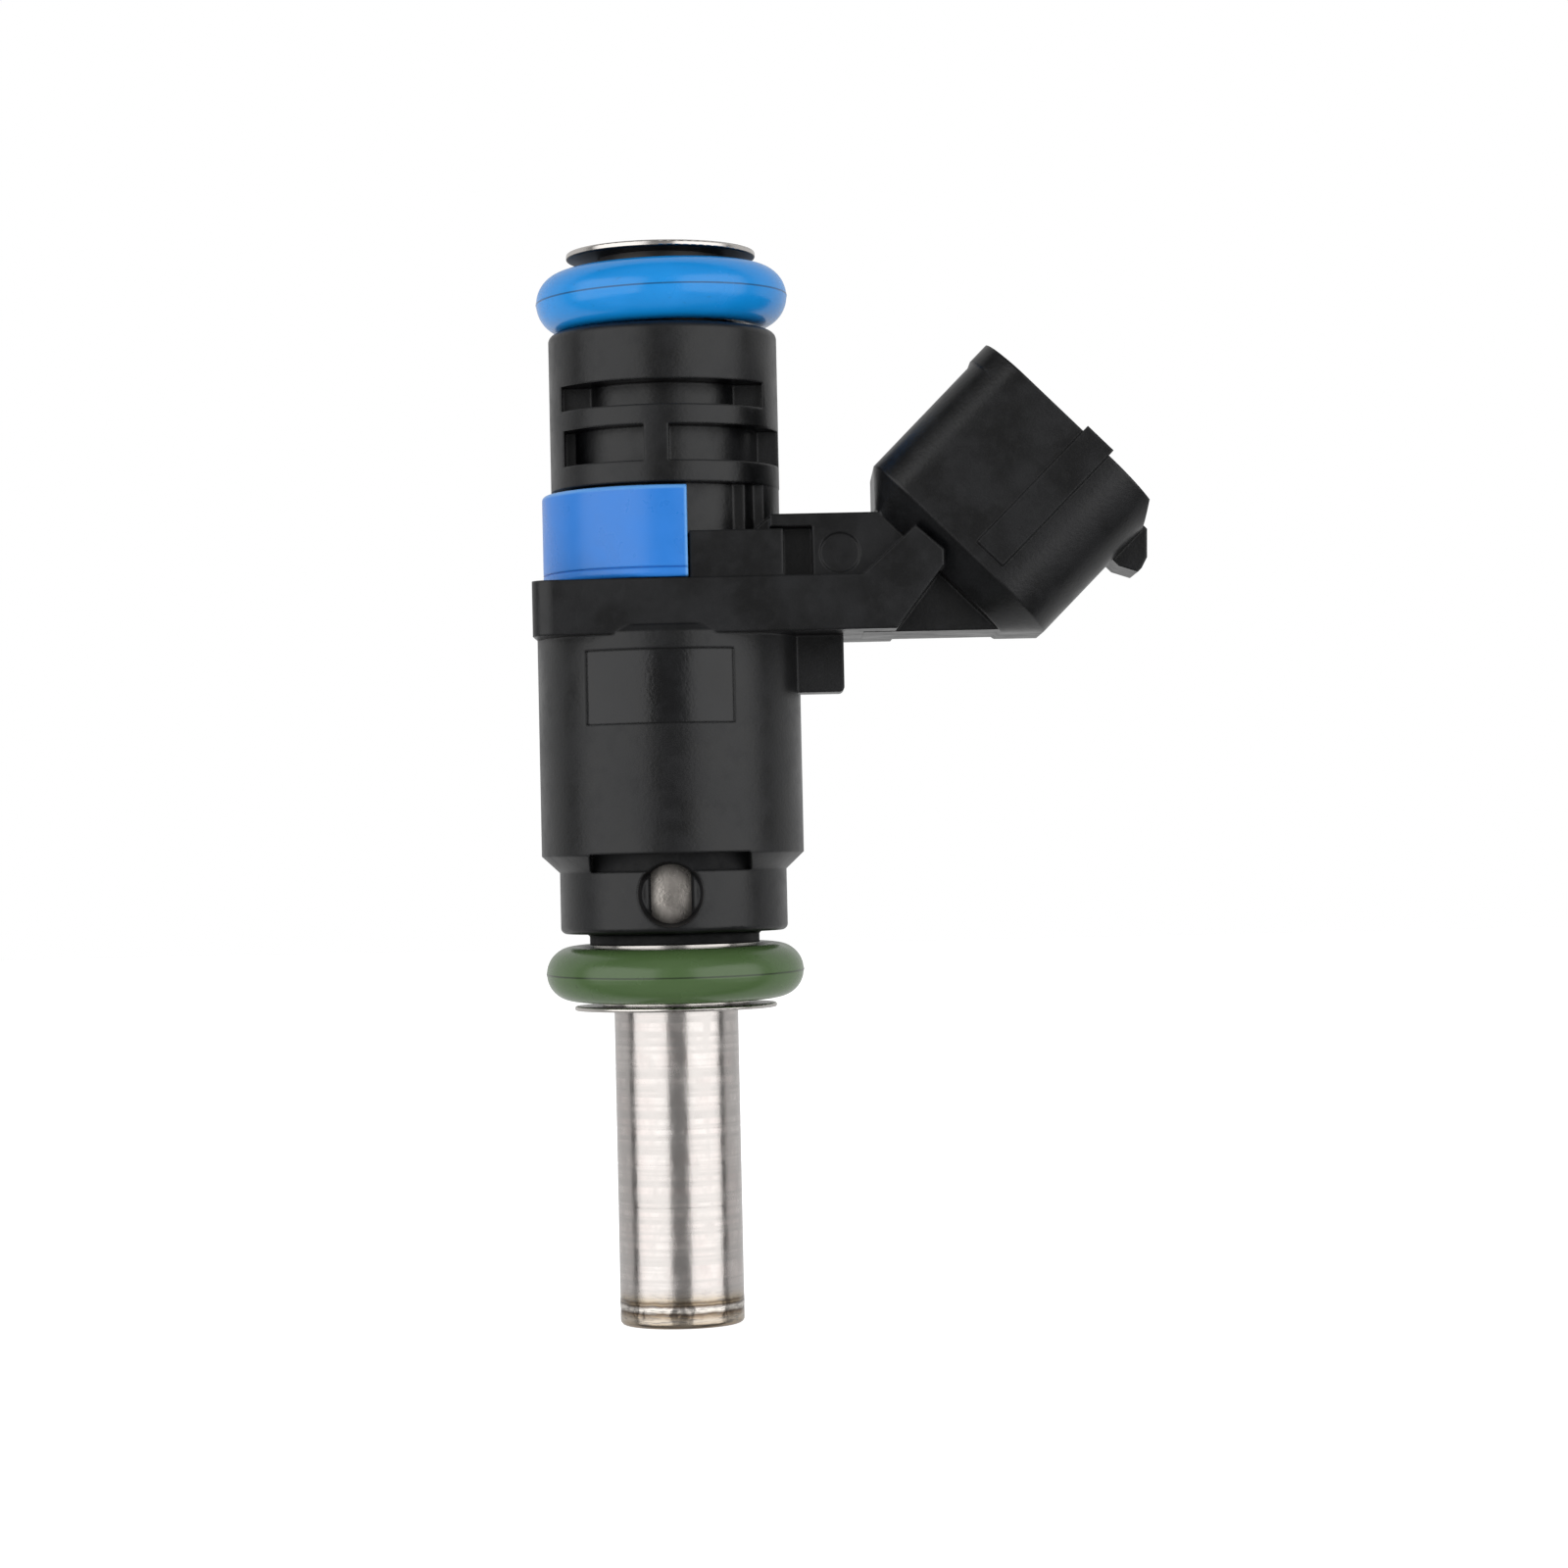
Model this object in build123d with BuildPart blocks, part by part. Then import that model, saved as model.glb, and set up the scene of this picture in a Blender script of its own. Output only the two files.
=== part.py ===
"""Port fuel injector with an extended tip, modelled piece by piece in millimetres.

+Z runs up the injector's axis from the spray tip to the fuel inlet, +X points at the
plug connector, and the origin is the centre of the tip's end face.
"""
from build123d import *
from math import cos, radians, sqrt
import os

os.makedirs("parts", exist_ok=True)

# Fits
WELD_GAP = 0.02          # radial gap between pieces that are pressed, welded or moulded together
RUNNING_GAP = 0.04       # radial gap of the sliding needle assembly
FACE_GAP = 0.02          # axial gap between pieces that are stacked on each other
LIFT = 0.10              # needle travel from closed to fully open
WIDE = 60.0              # span of a cutting tool that has to clear the whole part

# Tip and valve
TIP_R = 3.50
TIP_WALL = 0.55
TIP_TOP = 24.0
TIP_EDGE = 0.30
TIP_NECK_R = 3.30
PLATE_Z = 0.35
PLATE_THICK = 0.25
SPRAY_HOLE_R = 0.13
SPRAY_CIRCLE_R = 0.24
SPRAY_HOLES = 4
BALL_R = 1.50
BALL_Z = 2.90
BALL_FLATS = 5
BALL_FLAT_DISTANCE = 1.32
SEAT_TOP = 4.60
SAC_R = 0.45
NEEDLE_R = 1.00
NEEDLE_BORE_R = 0.65
NEEDLE_TOP = 29.0
NEEDLE_PORT_R = 0.35
GUIDE_Z = 20.0
GUIDE_HEIGHT = 1.6
GUIDE_PORTS = 4
GUIDE_PORT_R = 0.42
GUIDE_PORT_CIRCLE_R = 1.95

# Magnetic circuit
BODY_SHOULDER_R = 4.60
BODY_SHOULDER_Z = (21.28, 21.42)
SEAL_SEAT_R = 4.15
CORE_R = 4.00
ARMATURE_R = 3.05
ARMATURE_Z = (26.0, 33.0)
SPACER_Z = (30.0, 33.5)
POLE_TOP = 40.0
POLE_BORE_R = 1.80
INLET_R = 3.58
INLET_BORE_R = 3.00
CORE_TOP = 38.4
MAGNET_LOW_R = 5.35
MAGNET_R = 6.20
MAGNET_BORE_R = 5.50
MAGNET_Z = (22.5, 38.4)
MAGNET_STEP_Z = (26.9, 27.4)
MAGNET_FLOOR = 27.5
COVER_THICK = 0.6
BOBBIN_WALL = 0.35
BOBBIN_FLANGE = 0.7
BOBBIN_Z = (27.6, 37.6)
WINDING_TURNS = 18

# Return spring and its setting sleeve
SPRING_R = 1.35
SPRING_WIRE_R = 0.16
SPRING_Z = (30.2, 37.4)
SPRING_TURNS = 8
SETTING_SLEEVE_Z = (37.42, 44.0)
SETTING_SLEEVE_BORE_R = 1.10
SETTING_SLEEVE_SLIT = 0.50

# Inlet and filter
INLET_TOP = 60.60
FLANGE_R = 5.36
FLANGE_THICK = 0.36
SHEET_EDGE = 0.11
FILTER_TOP = 59.6
FILTER_COLLAR_HEIGHT = 1.6
FILTER_BOTTOM = 49.0
FILTER_CAGE_R = 2.55
FILTER_RIBS = 4
FILTER_COLLAR_WALL = 0.25
FILTER_HOOP = 1.0
FILTER_CAGE_WALL = 0.35
FILTER_WINDOW = 2.9
FILTER_MESH = 0.12

# Seals
LOWER_SEAL_Z = 19.86
LOWER_SEAL_OD = 14.60
LOWER_SEAL_SECTION = 3.10
UPPER_SEAL_Z = 58.00
UPPER_SEAL_OD = 14.28
UPPER_SEAL_SECTION = 3.53
RETAINER_R = 5.72
RETAINER_THICK = 0.25
RETAINER_Z = 17.76

# Moulded housing, turned stretch
NECK_R = 4.80
NECK_Z = 21.44
COLLAR_LOW_R = 6.42
COLLAR_LOW_Z = (22.10, 25.55)
COLLAR_EDGE = 0.35
BARREL_R = 7.42
BARREL_Z = (26.50, 38.75)
BARREL_TOP_R = 7.20
BARREL_CHAMFER = 0.40
BAND_Z = (38.65, 41.70)
BAND_X = 7.33
BAND_HALF = 6.90
BAND_CORNER = 1.20
CLIP_NECK_R = 5.50
COLLAR_TOP_R = 6.47
COLLAR_TOP_Z = (47.05, 56.00)
COLLAR_TOP_EDGE = 0.45
WINDOW_Z = 24.30
WINDOW_R = 1.62
WINDOW_FUNNEL_R = 2.05
WINDOW_FLOOR = 5.25
WINDOW_DEPTH = 2.0
LEDGE_HALF = 4.43
LEDGE_Z = (25.55, 26.55)
LEDGE_FLOOR_R = 6.05
LABEL_X = -0.35
LABEL_WIDTH = 8.2
LABEL_Z = (33.7, 37.8)
LABEL_DEPTH = 0.11

# Moulded housing, core-saving pockets in the upper collar
LONG_POCKET_Z = (51.35, 52.75)
LONG_POCKET_X = 5.60
LONG_POCKET_FLOOR_R = 4.65
LONG_POCKET_BACK = 2.40
SHORT_POCKET_Z = (48.25, 50.25)
SHORT_POCKET_LEFT = (-5.50, -0.95)
SHORT_POCKET_RIGHT = (0.42, 7.00)
SHORT_POCKET_FLOOR_R = 5.30
SHORT_POCKET_BACK = (2.00, 0.80)

# Moulded housing, spine, block and arm
SPINE_R = 6.44
SPINE_HALF = 3.24
SPINE_INNER_R = 5.95
SPINE_INNER_HALF = 3.90
BLOCK_X = (1.45, 6.60)
BLOCK_TOP = 44.30
BLOCK_HALF = 6.50
ARM_TOP = 45.20
ARM_FOOT_Z = 38.62
ARM_FOOT_X = 12.77
ARM_TURN_X = 11.00
PLATE_END_LOW = (15.43, 42.10)
PLATE_END_STEP = 0.85
PLATE_END_HIGH = (13.92, 44.30)
WEB_HALF = 5.40
WEB_TOP_X = 12.60
WEB_END_X = 14.60
WEB_LIP = 0.70
LOW_WEB_HALF = 3.90
LOW_WEB_END = (19.60, 39.20)
RIB_X = 8.24
EJECTOR_MARK_R = 1.10
EJECTOR_MARK_DEPTH = 0.10
EJECTOR_MARK_AT = (9.75, 43.0)
TAB_X = 9.90
TAB_Z = 35.43
TAB_HALF = 1.60
TAB_ROOT = 2.0
TAB_EDGE = 0.30

# Plug connector, on its own axis at 45 degrees
PLUG_BACK = 40.40
PLUG_MOUTH = 51.25
PLUG_LOW = -25.50
PLUG_HIGH = -12.30
PLUG_HALF = 7.20
PLUG_LOW_CORNER = 2.60
PLUG_HIGH_CORNER = 4.00
PLUG_BACK_CHAMFER = 1.70
PLUG_WALL = 1.25
PLUG_FLOOR = 42.40
PLUG_RIM = 50.00
PLUG_RIM_PROUD = 0.15
PLUG_RIM_BEVEL = (1.20, 0.85)
SIDE_RIB = (-18.40, -16.45)
SIDE_RIB_BACK = 42.80
SIDE_RIB_PROUD = 0.22
SIDE_RIB_REACH = 0.35
NOSE_HALF = 2.60
NOSE_HEIGHT = 1.50
NOSE_BACK = 47.75
NOSE_TIP = (48.25, 48.55)
NOSE_FACE = 49.20
NOSE_FRONT = 50.35
NOSE_FLAT = 0.20

# Terminals
PIN_PITCH = 5.00
PIN_WIDTH = 1.50
PIN_THICK = 0.80
PIN_COIL_X = 4.60
PIN_ARM_Z = 40.30
PIN_BEND_R = 0.90
PIN_END = 48.80
PIN_SLOT_SIDE = 0.30
PIN_SLOT_BACK = 0.20

# Locating clip
CLIP_R = 7.00
CLIP_Z = (41.75, 46.85)
CLIP_END_X = 1.35
CLIP_EDGE = 0.25
CLIP_GROOVE_Z = 42.30
CLIP_GROOVE = 0.08

PLUG_AXIS = (PLUG_LOW + PLUG_HIGH) / 2
TIP_BORE_R = TIP_R - TIP_WALL
NEEDLE_FOOT = BALL_Z + sqrt(BALL_R**2 - NEEDLE_BORE_R**2) + WELD_GAP
POLE_FACE = ARMATURE_Z[1] + LIFT + FACE_GAP
PLUG_PLANE = Plane(origin=(0, 0, 0), x_dir=(1, 0, -1), z_dir=(1, 0, 1))


def plug_point(along, across):
    """Turn a point of the connector's own frame into X and Z of the part."""
    return (along + across) / sqrt(2), (along - across) / sqrt(2)


def tube_section(outer, inner, low, high):
    """List the half section of a plain tube as radius and height pairs."""
    return [(inner, low), (outer, low), (outer, high), (inner, high)]


def finish(piece, label):
    """Name a finished piece and write it to its own file."""
    piece.part.label = label
    export_step(piece.part, f"parts/{label}.step")


# ---------------------------------------------------------------- tip and valve

tip_step = RETAINER_Z - FACE_GAP
with BuildPart() as tip_tube:
    with BuildSketch(Plane.XZ):
        Polygon(
            (TIP_BORE_R, 0),
            (TIP_R, 0),
            (TIP_R, tip_step),
            (TIP_NECK_R, tip_step),
            (TIP_NECK_R, TIP_TOP),
            (TIP_BORE_R, TIP_TOP),
            align=None,
        )
    revolve(axis=Axis.Z)
    tip_rim = tip_tube.edges().group_by(Axis.Z)[0].sort_by(SortBy.RADIUS)[-1]
    chamfer(tip_rim, TIP_EDGE)
finish(tip_tube, "tip_tube")

with BuildPart() as orifice_plate:
    with BuildSketch(Plane.XY.offset(PLATE_Z)):
        Circle(TIP_BORE_R - WELD_GAP)
        with PolarLocations(SPRAY_CIRCLE_R, SPRAY_HOLES):
            Circle(SPRAY_HOLE_R, mode=Mode.SUBTRACT)
    extrude(amount=PLATE_THICK)
finish(orifice_plate, "orifice_plate")

seat_foot = PLATE_Z + PLATE_THICK + FACE_GAP
guide_bore = BALL_R + RUNNING_GAP
contact_r = BALL_R * cos(radians(45))
cone_shift = BALL_Z - contact_r - contact_r - FACE_GAP
with BuildPart() as valve_seat:
    with BuildSketch(Plane.XZ):
        Polygon(
            (SAC_R, seat_foot),
            (TIP_BORE_R - WELD_GAP, seat_foot),
            (TIP_BORE_R - WELD_GAP, SEAT_TOP),
            (guide_bore, SEAT_TOP),
            (guide_bore, cone_shift + guide_bore),
            (SAC_R, cone_shift + SAC_R),
            align=None,
        )
    revolve(axis=Axis.Z)
finish(valve_seat, "valve_seat")

with BuildPart() as valve_ball:
    with Locations((0, 0, BALL_Z)):
        Sphere(BALL_R)
    with BuildSketch(Plane.XY.offset(BALL_Z - BALL_R)):
        Circle(2 * BALL_R)
        RegularPolygon(BALL_FLAT_DISTANCE, BALL_FLATS, major_radius=False, mode=Mode.SUBTRACT)
    extrude(amount=2 * BALL_R, mode=Mode.SUBTRACT)
finish(valve_ball, "valve_ball")

with BuildPart() as needle_tube:
    with BuildSketch(Plane.XZ):
        Polygon(*tube_section(NEEDLE_R, NEEDLE_BORE_R, NEEDLE_FOOT, NEEDLE_TOP), align=None)
    revolve(axis=Axis.Z)
    for port_z in (NEEDLE_FOOT + 2.0, GUIDE_Z - 2.0):
        with BuildSketch(Plane.XZ):
            with Locations((0, port_z)):
                Circle(NEEDLE_PORT_R)
        extrude(amount=2 * NEEDLE_R, both=True, mode=Mode.SUBTRACT)
finish(needle_tube, "needle_tube")

with BuildPart() as needle_guide:
    with BuildSketch(Plane.XY.offset(GUIDE_Z)):
        Circle(TIP_BORE_R - WELD_GAP)
        Circle(NEEDLE_R + RUNNING_GAP, mode=Mode.SUBTRACT)
        with PolarLocations(GUIDE_PORT_CIRCLE_R, GUIDE_PORTS):
            Circle(GUIDE_PORT_R, mode=Mode.SUBTRACT)
    extrude(amount=GUIDE_HEIGHT)
finish(needle_guide, "needle_guide")

# ------------------------------------------------------------- magnetic circuit

with BuildPart() as armature:
    with BuildSketch(Plane.XZ):
        Polygon(
            (NEEDLE_R + WELD_GAP, ARMATURE_Z[0]),
            (ARMATURE_R, ARMATURE_Z[0]),
            (ARMATURE_R, ARMATURE_Z[1]),
            (POLE_BORE_R, ARMATURE_Z[1]),
            (POLE_BORE_R, SPRING_Z[0] - FACE_GAP),
            (NEEDLE_BORE_R, SPRING_Z[0] - FACE_GAP),
            (NEEDLE_BORE_R, NEEDLE_TOP + FACE_GAP),
            (NEEDLE_R + WELD_GAP, NEEDLE_TOP + FACE_GAP),
            align=None,
        )
    revolve(axis=Axis.Z)
finish(armature, "armature")

with BuildPart() as valve_body:
    with BuildSketch(Plane.XZ):
        Polygon(
            (TIP_NECK_R + WELD_GAP, RETAINER_Z + RETAINER_THICK + FACE_GAP),
            (SEAL_SEAT_R, RETAINER_Z + RETAINER_THICK + FACE_GAP),
            (SEAL_SEAT_R, BODY_SHOULDER_Z[0]),
            (BODY_SHOULDER_R, BODY_SHOULDER_Z[0]),
            (BODY_SHOULDER_R, BODY_SHOULDER_Z[1]),
            (CORE_R, BODY_SHOULDER_Z[1]),
            (CORE_R, SPACER_Z[0] - FACE_GAP),
            (ARMATURE_R + RUNNING_GAP, SPACER_Z[0] - FACE_GAP),
            (ARMATURE_R + RUNNING_GAP, TIP_TOP + FACE_GAP),
            (TIP_NECK_R + WELD_GAP, TIP_TOP + FACE_GAP),
            align=None,
        )
    revolve(axis=Axis.Z)
finish(valve_body, "valve_body")

with BuildPart() as spacer_ring:
    with BuildSketch(Plane.XZ):
        Polygon(*tube_section(CORE_R, ARMATURE_R + RUNNING_GAP, *SPACER_Z), align=None)
    revolve(axis=Axis.Z)
finish(spacer_ring, "spacer_ring")

with BuildPart() as pole_piece:
    with BuildSketch(Plane.XZ):
        Polygon(
            *tube_section(INLET_BORE_R - WELD_GAP, POLE_BORE_R, POLE_FACE, POLE_TOP), align=None
        )
    revolve(axis=Axis.Z)
finish(pole_piece, "pole_piece")

flange_under = INLET_TOP - FLANGE_THICK
with BuildPart() as inlet_tube:
    with BuildSketch(Plane.XZ):
        Polygon(
            (INLET_BORE_R, SPACER_Z[1] + FACE_GAP),
            (CORE_R, SPACER_Z[1] + FACE_GAP),
            (CORE_R, CORE_TOP),
            (INLET_R, CORE_TOP),
            (INLET_R, flange_under),
            (FLANGE_R, flange_under),
            (FLANGE_R, INLET_TOP),
            (INLET_BORE_R, INLET_TOP),
            align=None,
        )
    revolve(axis=Axis.Z)
    flange_rims = inlet_tube.edges().filter_by(GeomType.CIRCLE).group_by(SortBy.RADIUS)[-1]
    fillet(flange_rims, SHEET_EDGE)
    mouth_rim = inlet_tube.edges().group_by(Axis.Z)[-1].sort_by(SortBy.RADIUS)[0]
    fillet(mouth_rim, FLANGE_THICK)
finish(inlet_tube, "inlet_tube")

pin_slot_width = PIN_PITCH + PIN_WIDTH + 2 * PIN_SLOT_SIDE
pin_slot_from = PIN_COIL_X - PIN_THICK / 2 - PIN_SLOT_BACK
with BuildPart() as magnet_housing:
    with BuildSketch(Plane.XZ):
        Polygon(
            (CORE_R + WELD_GAP, MAGNET_Z[0]),
            (MAGNET_LOW_R, MAGNET_Z[0]),
            (MAGNET_LOW_R, MAGNET_STEP_Z[0]),
            (MAGNET_R, MAGNET_STEP_Z[1]),
            (MAGNET_R, MAGNET_Z[1]),
            (MAGNET_BORE_R, MAGNET_Z[1]),
            (MAGNET_BORE_R, MAGNET_FLOOR),
            (CORE_R + WELD_GAP, MAGNET_FLOOR),
            align=None,
        )
    revolve(axis=Axis.Z)
    with BuildSketch(Plane.XY.offset(BOBBIN_Z[1])):
        with Locations((pin_slot_from, 0)):
            Rectangle(WIDE, pin_slot_width, align=(Align.MIN, Align.CENTER))
    extrude(amount=WIDE, mode=Mode.SUBTRACT)
finish(magnet_housing, "magnet_housing")

with BuildPart() as magnet_cover:
    with BuildSketch(Plane.XY.offset(MAGNET_Z[1] - COVER_THICK)):
        Circle(MAGNET_BORE_R - WELD_GAP)
        Circle(CORE_R + WELD_GAP, mode=Mode.SUBTRACT)
        with Locations((pin_slot_from, 0)):
            Rectangle(WIDE, pin_slot_width, align=(Align.MIN, Align.CENTER), mode=Mode.SUBTRACT)
    extrude(amount=COVER_THICK)
finish(magnet_cover, "magnet_cover")

bobbin_inner = CORE_R + WELD_GAP
bobbin_outer = MAGNET_BORE_R - WELD_GAP
winding_floor = bobbin_inner + BOBBIN_WALL
winding_low = BOBBIN_Z[0] + BOBBIN_FLANGE
winding_high = BOBBIN_Z[1] - BOBBIN_FLANGE
with BuildPart() as coil_bobbin:
    with BuildSketch(Plane.XZ):
        Polygon(
            (bobbin_inner, BOBBIN_Z[0]),
            (bobbin_outer, BOBBIN_Z[0]),
            (bobbin_outer, winding_low),
            (winding_floor, winding_low),
            (winding_floor, winding_high),
            (bobbin_outer, winding_high),
            (bobbin_outer, BOBBIN_Z[1]),
            (bobbin_inner, BOBBIN_Z[1]),
            align=None,
        )
    revolve(axis=Axis.Z)
finish(coil_bobbin, "coil_bobbin")

turn_height = (winding_high - winding_low - 2 * FACE_GAP) / WINDING_TURNS
with BuildPart() as coil_winding:
    with BuildSketch(Plane.XZ):
        with BuildLine():
            turn_r = bobbin_outer - turn_height
            first_r = winding_floor + WELD_GAP
            foot = winding_low + FACE_GAP
            head = winding_high - FACE_GAP
            Polyline((turn_r, head), (first_r, head), (first_r, foot), (turn_r, foot))
            for turn in range(WINDING_TURNS):
                turn_foot = foot + turn * turn_height
                ThreePointArc(
                    (turn_r, turn_foot),
                    (turn_r + turn_height / 2, turn_foot + turn_height / 2),
                    (turn_r, turn_foot + turn_height),
                )
        make_face()
    revolve(axis=Axis.Z)
finish(coil_winding, "coil_winding")

# --------------------------------------------- return spring and setting sleeve

coil_rise = SPRING_Z[1] - SPRING_Z[0] - 2 * SPRING_WIRE_R
spring_foot = SPRING_Z[0] + SPRING_WIRE_R
with BuildPart() as return_spring:
    with BuildLine(Plane.XY.offset(spring_foot)):
        spring_path = Helix(pitch=coil_rise / SPRING_TURNS, height=coil_rise, radius=SPRING_R)
    with BuildSketch(Plane(origin=spring_path @ 0, z_dir=spring_path % 0)):
        Circle(SPRING_WIRE_R)
    sweep(path=spring_path, is_frenet=True)
finish(return_spring, "return_spring")

with BuildPart() as setting_sleeve:
    with BuildSketch(Plane.XY.offset(SETTING_SLEEVE_Z[0])):
        Circle(POLE_BORE_R - WELD_GAP)
        Circle(SETTING_SLEEVE_BORE_R, mode=Mode.SUBTRACT)
        Rectangle(WIDE, SETTING_SLEEVE_SLIT, align=(Align.MIN, Align.CENTER), mode=Mode.SUBTRACT)
    extrude(amount=SETTING_SLEEVE_Z[1] - SETTING_SLEEVE_Z[0])
finish(setting_sleeve, "setting_sleeve")

# ------------------------------------------------------------------ inlet filter

filter_collar_foot = FILTER_TOP - FILTER_COLLAR_HEIGHT
with BuildPart() as filter_collar:
    with BuildSketch(Plane.XZ):
        Polygon(
            *tube_section(
                INLET_BORE_R - WELD_GAP,
                INLET_BORE_R - WELD_GAP - FILTER_COLLAR_WALL,
                filter_collar_foot,
                FILTER_TOP,
            ),
            align=None,
        )
    revolve(axis=Axis.Z)
finish(filter_collar, "filter_collar")

with BuildPart() as filter_cage:
    with BuildSketch(Plane.XZ):
        Polygon(
            *tube_section(FILTER_CAGE_R, FILTER_CAGE_R - FILTER_CAGE_WALL, FILTER_BOTTOM, FILTER_TOP),
            align=None,
        )
    revolve(axis=Axis.Z)
    with BuildSketch(Plane.XY.offset(FILTER_BOTTOM)):
        Circle(FILTER_CAGE_R)
    extrude(amount=FILTER_HOOP)
    with BuildSketch(Plane.XY.offset(FILTER_BOTTOM + 2 * FILTER_HOOP)):
        with PolarLocations(FILTER_CAGE_R, FILTER_RIBS):
            Rectangle(FILTER_CAGE_R, FILTER_WINDOW)
    extrude(amount=filter_collar_foot - FILTER_BOTTOM - 3 * FILTER_HOOP, mode=Mode.SUBTRACT)
finish(filter_cage, "filter_cage")

mesh_r = FILTER_CAGE_R - FILTER_CAGE_WALL - WELD_GAP
with BuildPart() as filter_screen:
    with BuildSketch(Plane.XZ):
        Polygon(
            *tube_section(
                mesh_r, mesh_r - FILTER_MESH, FILTER_BOTTOM + FILTER_HOOP + FACE_GAP, FILTER_TOP
            ),
            align=None,
        )
    revolve(axis=Axis.Z)
finish(filter_screen, "filter_screen")

# -------------------------------------------------------------------------- seals

for seal_name, seal_z, seal_od, section in (
    ("lower_seal_ring", LOWER_SEAL_Z, LOWER_SEAL_OD, LOWER_SEAL_SECTION),
    ("upper_seal_ring", UPPER_SEAL_Z, UPPER_SEAL_OD, UPPER_SEAL_SECTION),
):
    with BuildPart() as seal_ring:
        with BuildSketch(Plane.XZ):
            with Locations(((seal_od - section) / 2, seal_z)):
                Circle(section / 2)
        revolve(axis=Axis.Z)
    finish(seal_ring, seal_name)

with BuildPart() as seal_retainer:
    with BuildSketch(Plane.XZ):
        Polygon(
            *tube_section(
                RETAINER_R, TIP_NECK_R + WELD_GAP, RETAINER_Z, RETAINER_Z + RETAINER_THICK
            ),
            align=None,
        )
    revolve(axis=Axis.Z)
    retainer_rims = seal_retainer.edges().filter_by(GeomType.CIRCLE).group_by(SortBy.RADIUS)[-1]
    fillet(retainer_rims, SHEET_EDGE)
finish(seal_retainer, "seal_retainer")

# ---------------------------------------------------------------------- terminals

pin_route = [
    (PIN_COIL_X, BOBBIN_Z[1] + FACE_GAP),
    (PIN_COIL_X, PIN_ARM_Z),
    (PIN_ARM_Z + PLUG_AXIS * sqrt(2), PIN_ARM_Z),
    plug_point(PIN_END, PLUG_AXIS),
]
for pin_name, side in (("terminal_pin_left", -1), ("terminal_pin_right", 1)):
    with BuildPart() as terminal_pin:
        with BuildSketch(Plane.XZ.offset(-side * PIN_PITCH / 2)):
            with BuildLine():
                FilletPolyline(*pin_route, radius=PIN_BEND_R)
            trace(line_width=PIN_THICK)
        extrude(amount=PIN_WIDTH / 2, both=True)
    finish(terminal_pin, pin_name)

# ------------------------------------------------------------------ locating clip

with BuildPart() as locating_clip:
    with BuildSketch(Plane.XZ):
        Polygon(*tube_section(CLIP_R, CLIP_NECK_R + WELD_GAP, *CLIP_Z), align=None)
        with Locations((CLIP_R, CLIP_GROOVE_Z)):
            Rectangle(2 * CLIP_GROOVE, CLIP_GROOVE, mode=Mode.SUBTRACT)
    revolve(axis=Axis.Z)
    clip_rims = locating_clip.edges().filter_by(GeomType.CIRCLE).group_by(Axis.Z)
    top_rim = clip_rims[-1].sort_by(SortBy.RADIUS)[-1]
    foot_rim = clip_rims[0].sort_by(SortBy.RADIUS)[-1]
    fillet([top_rim, foot_rim], CLIP_EDGE)
    with BuildSketch(Plane.XY):
        with Locations((CLIP_END_X, 0)):
            Rectangle(WIDE, WIDE, align=(Align.MIN, Align.CENTER))
    extrude(amount=WIDE, mode=Mode.SUBTRACT)
finish(locating_clip, "locating_clip")

# ---------------------------------------------------------------- moulded housing

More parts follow.
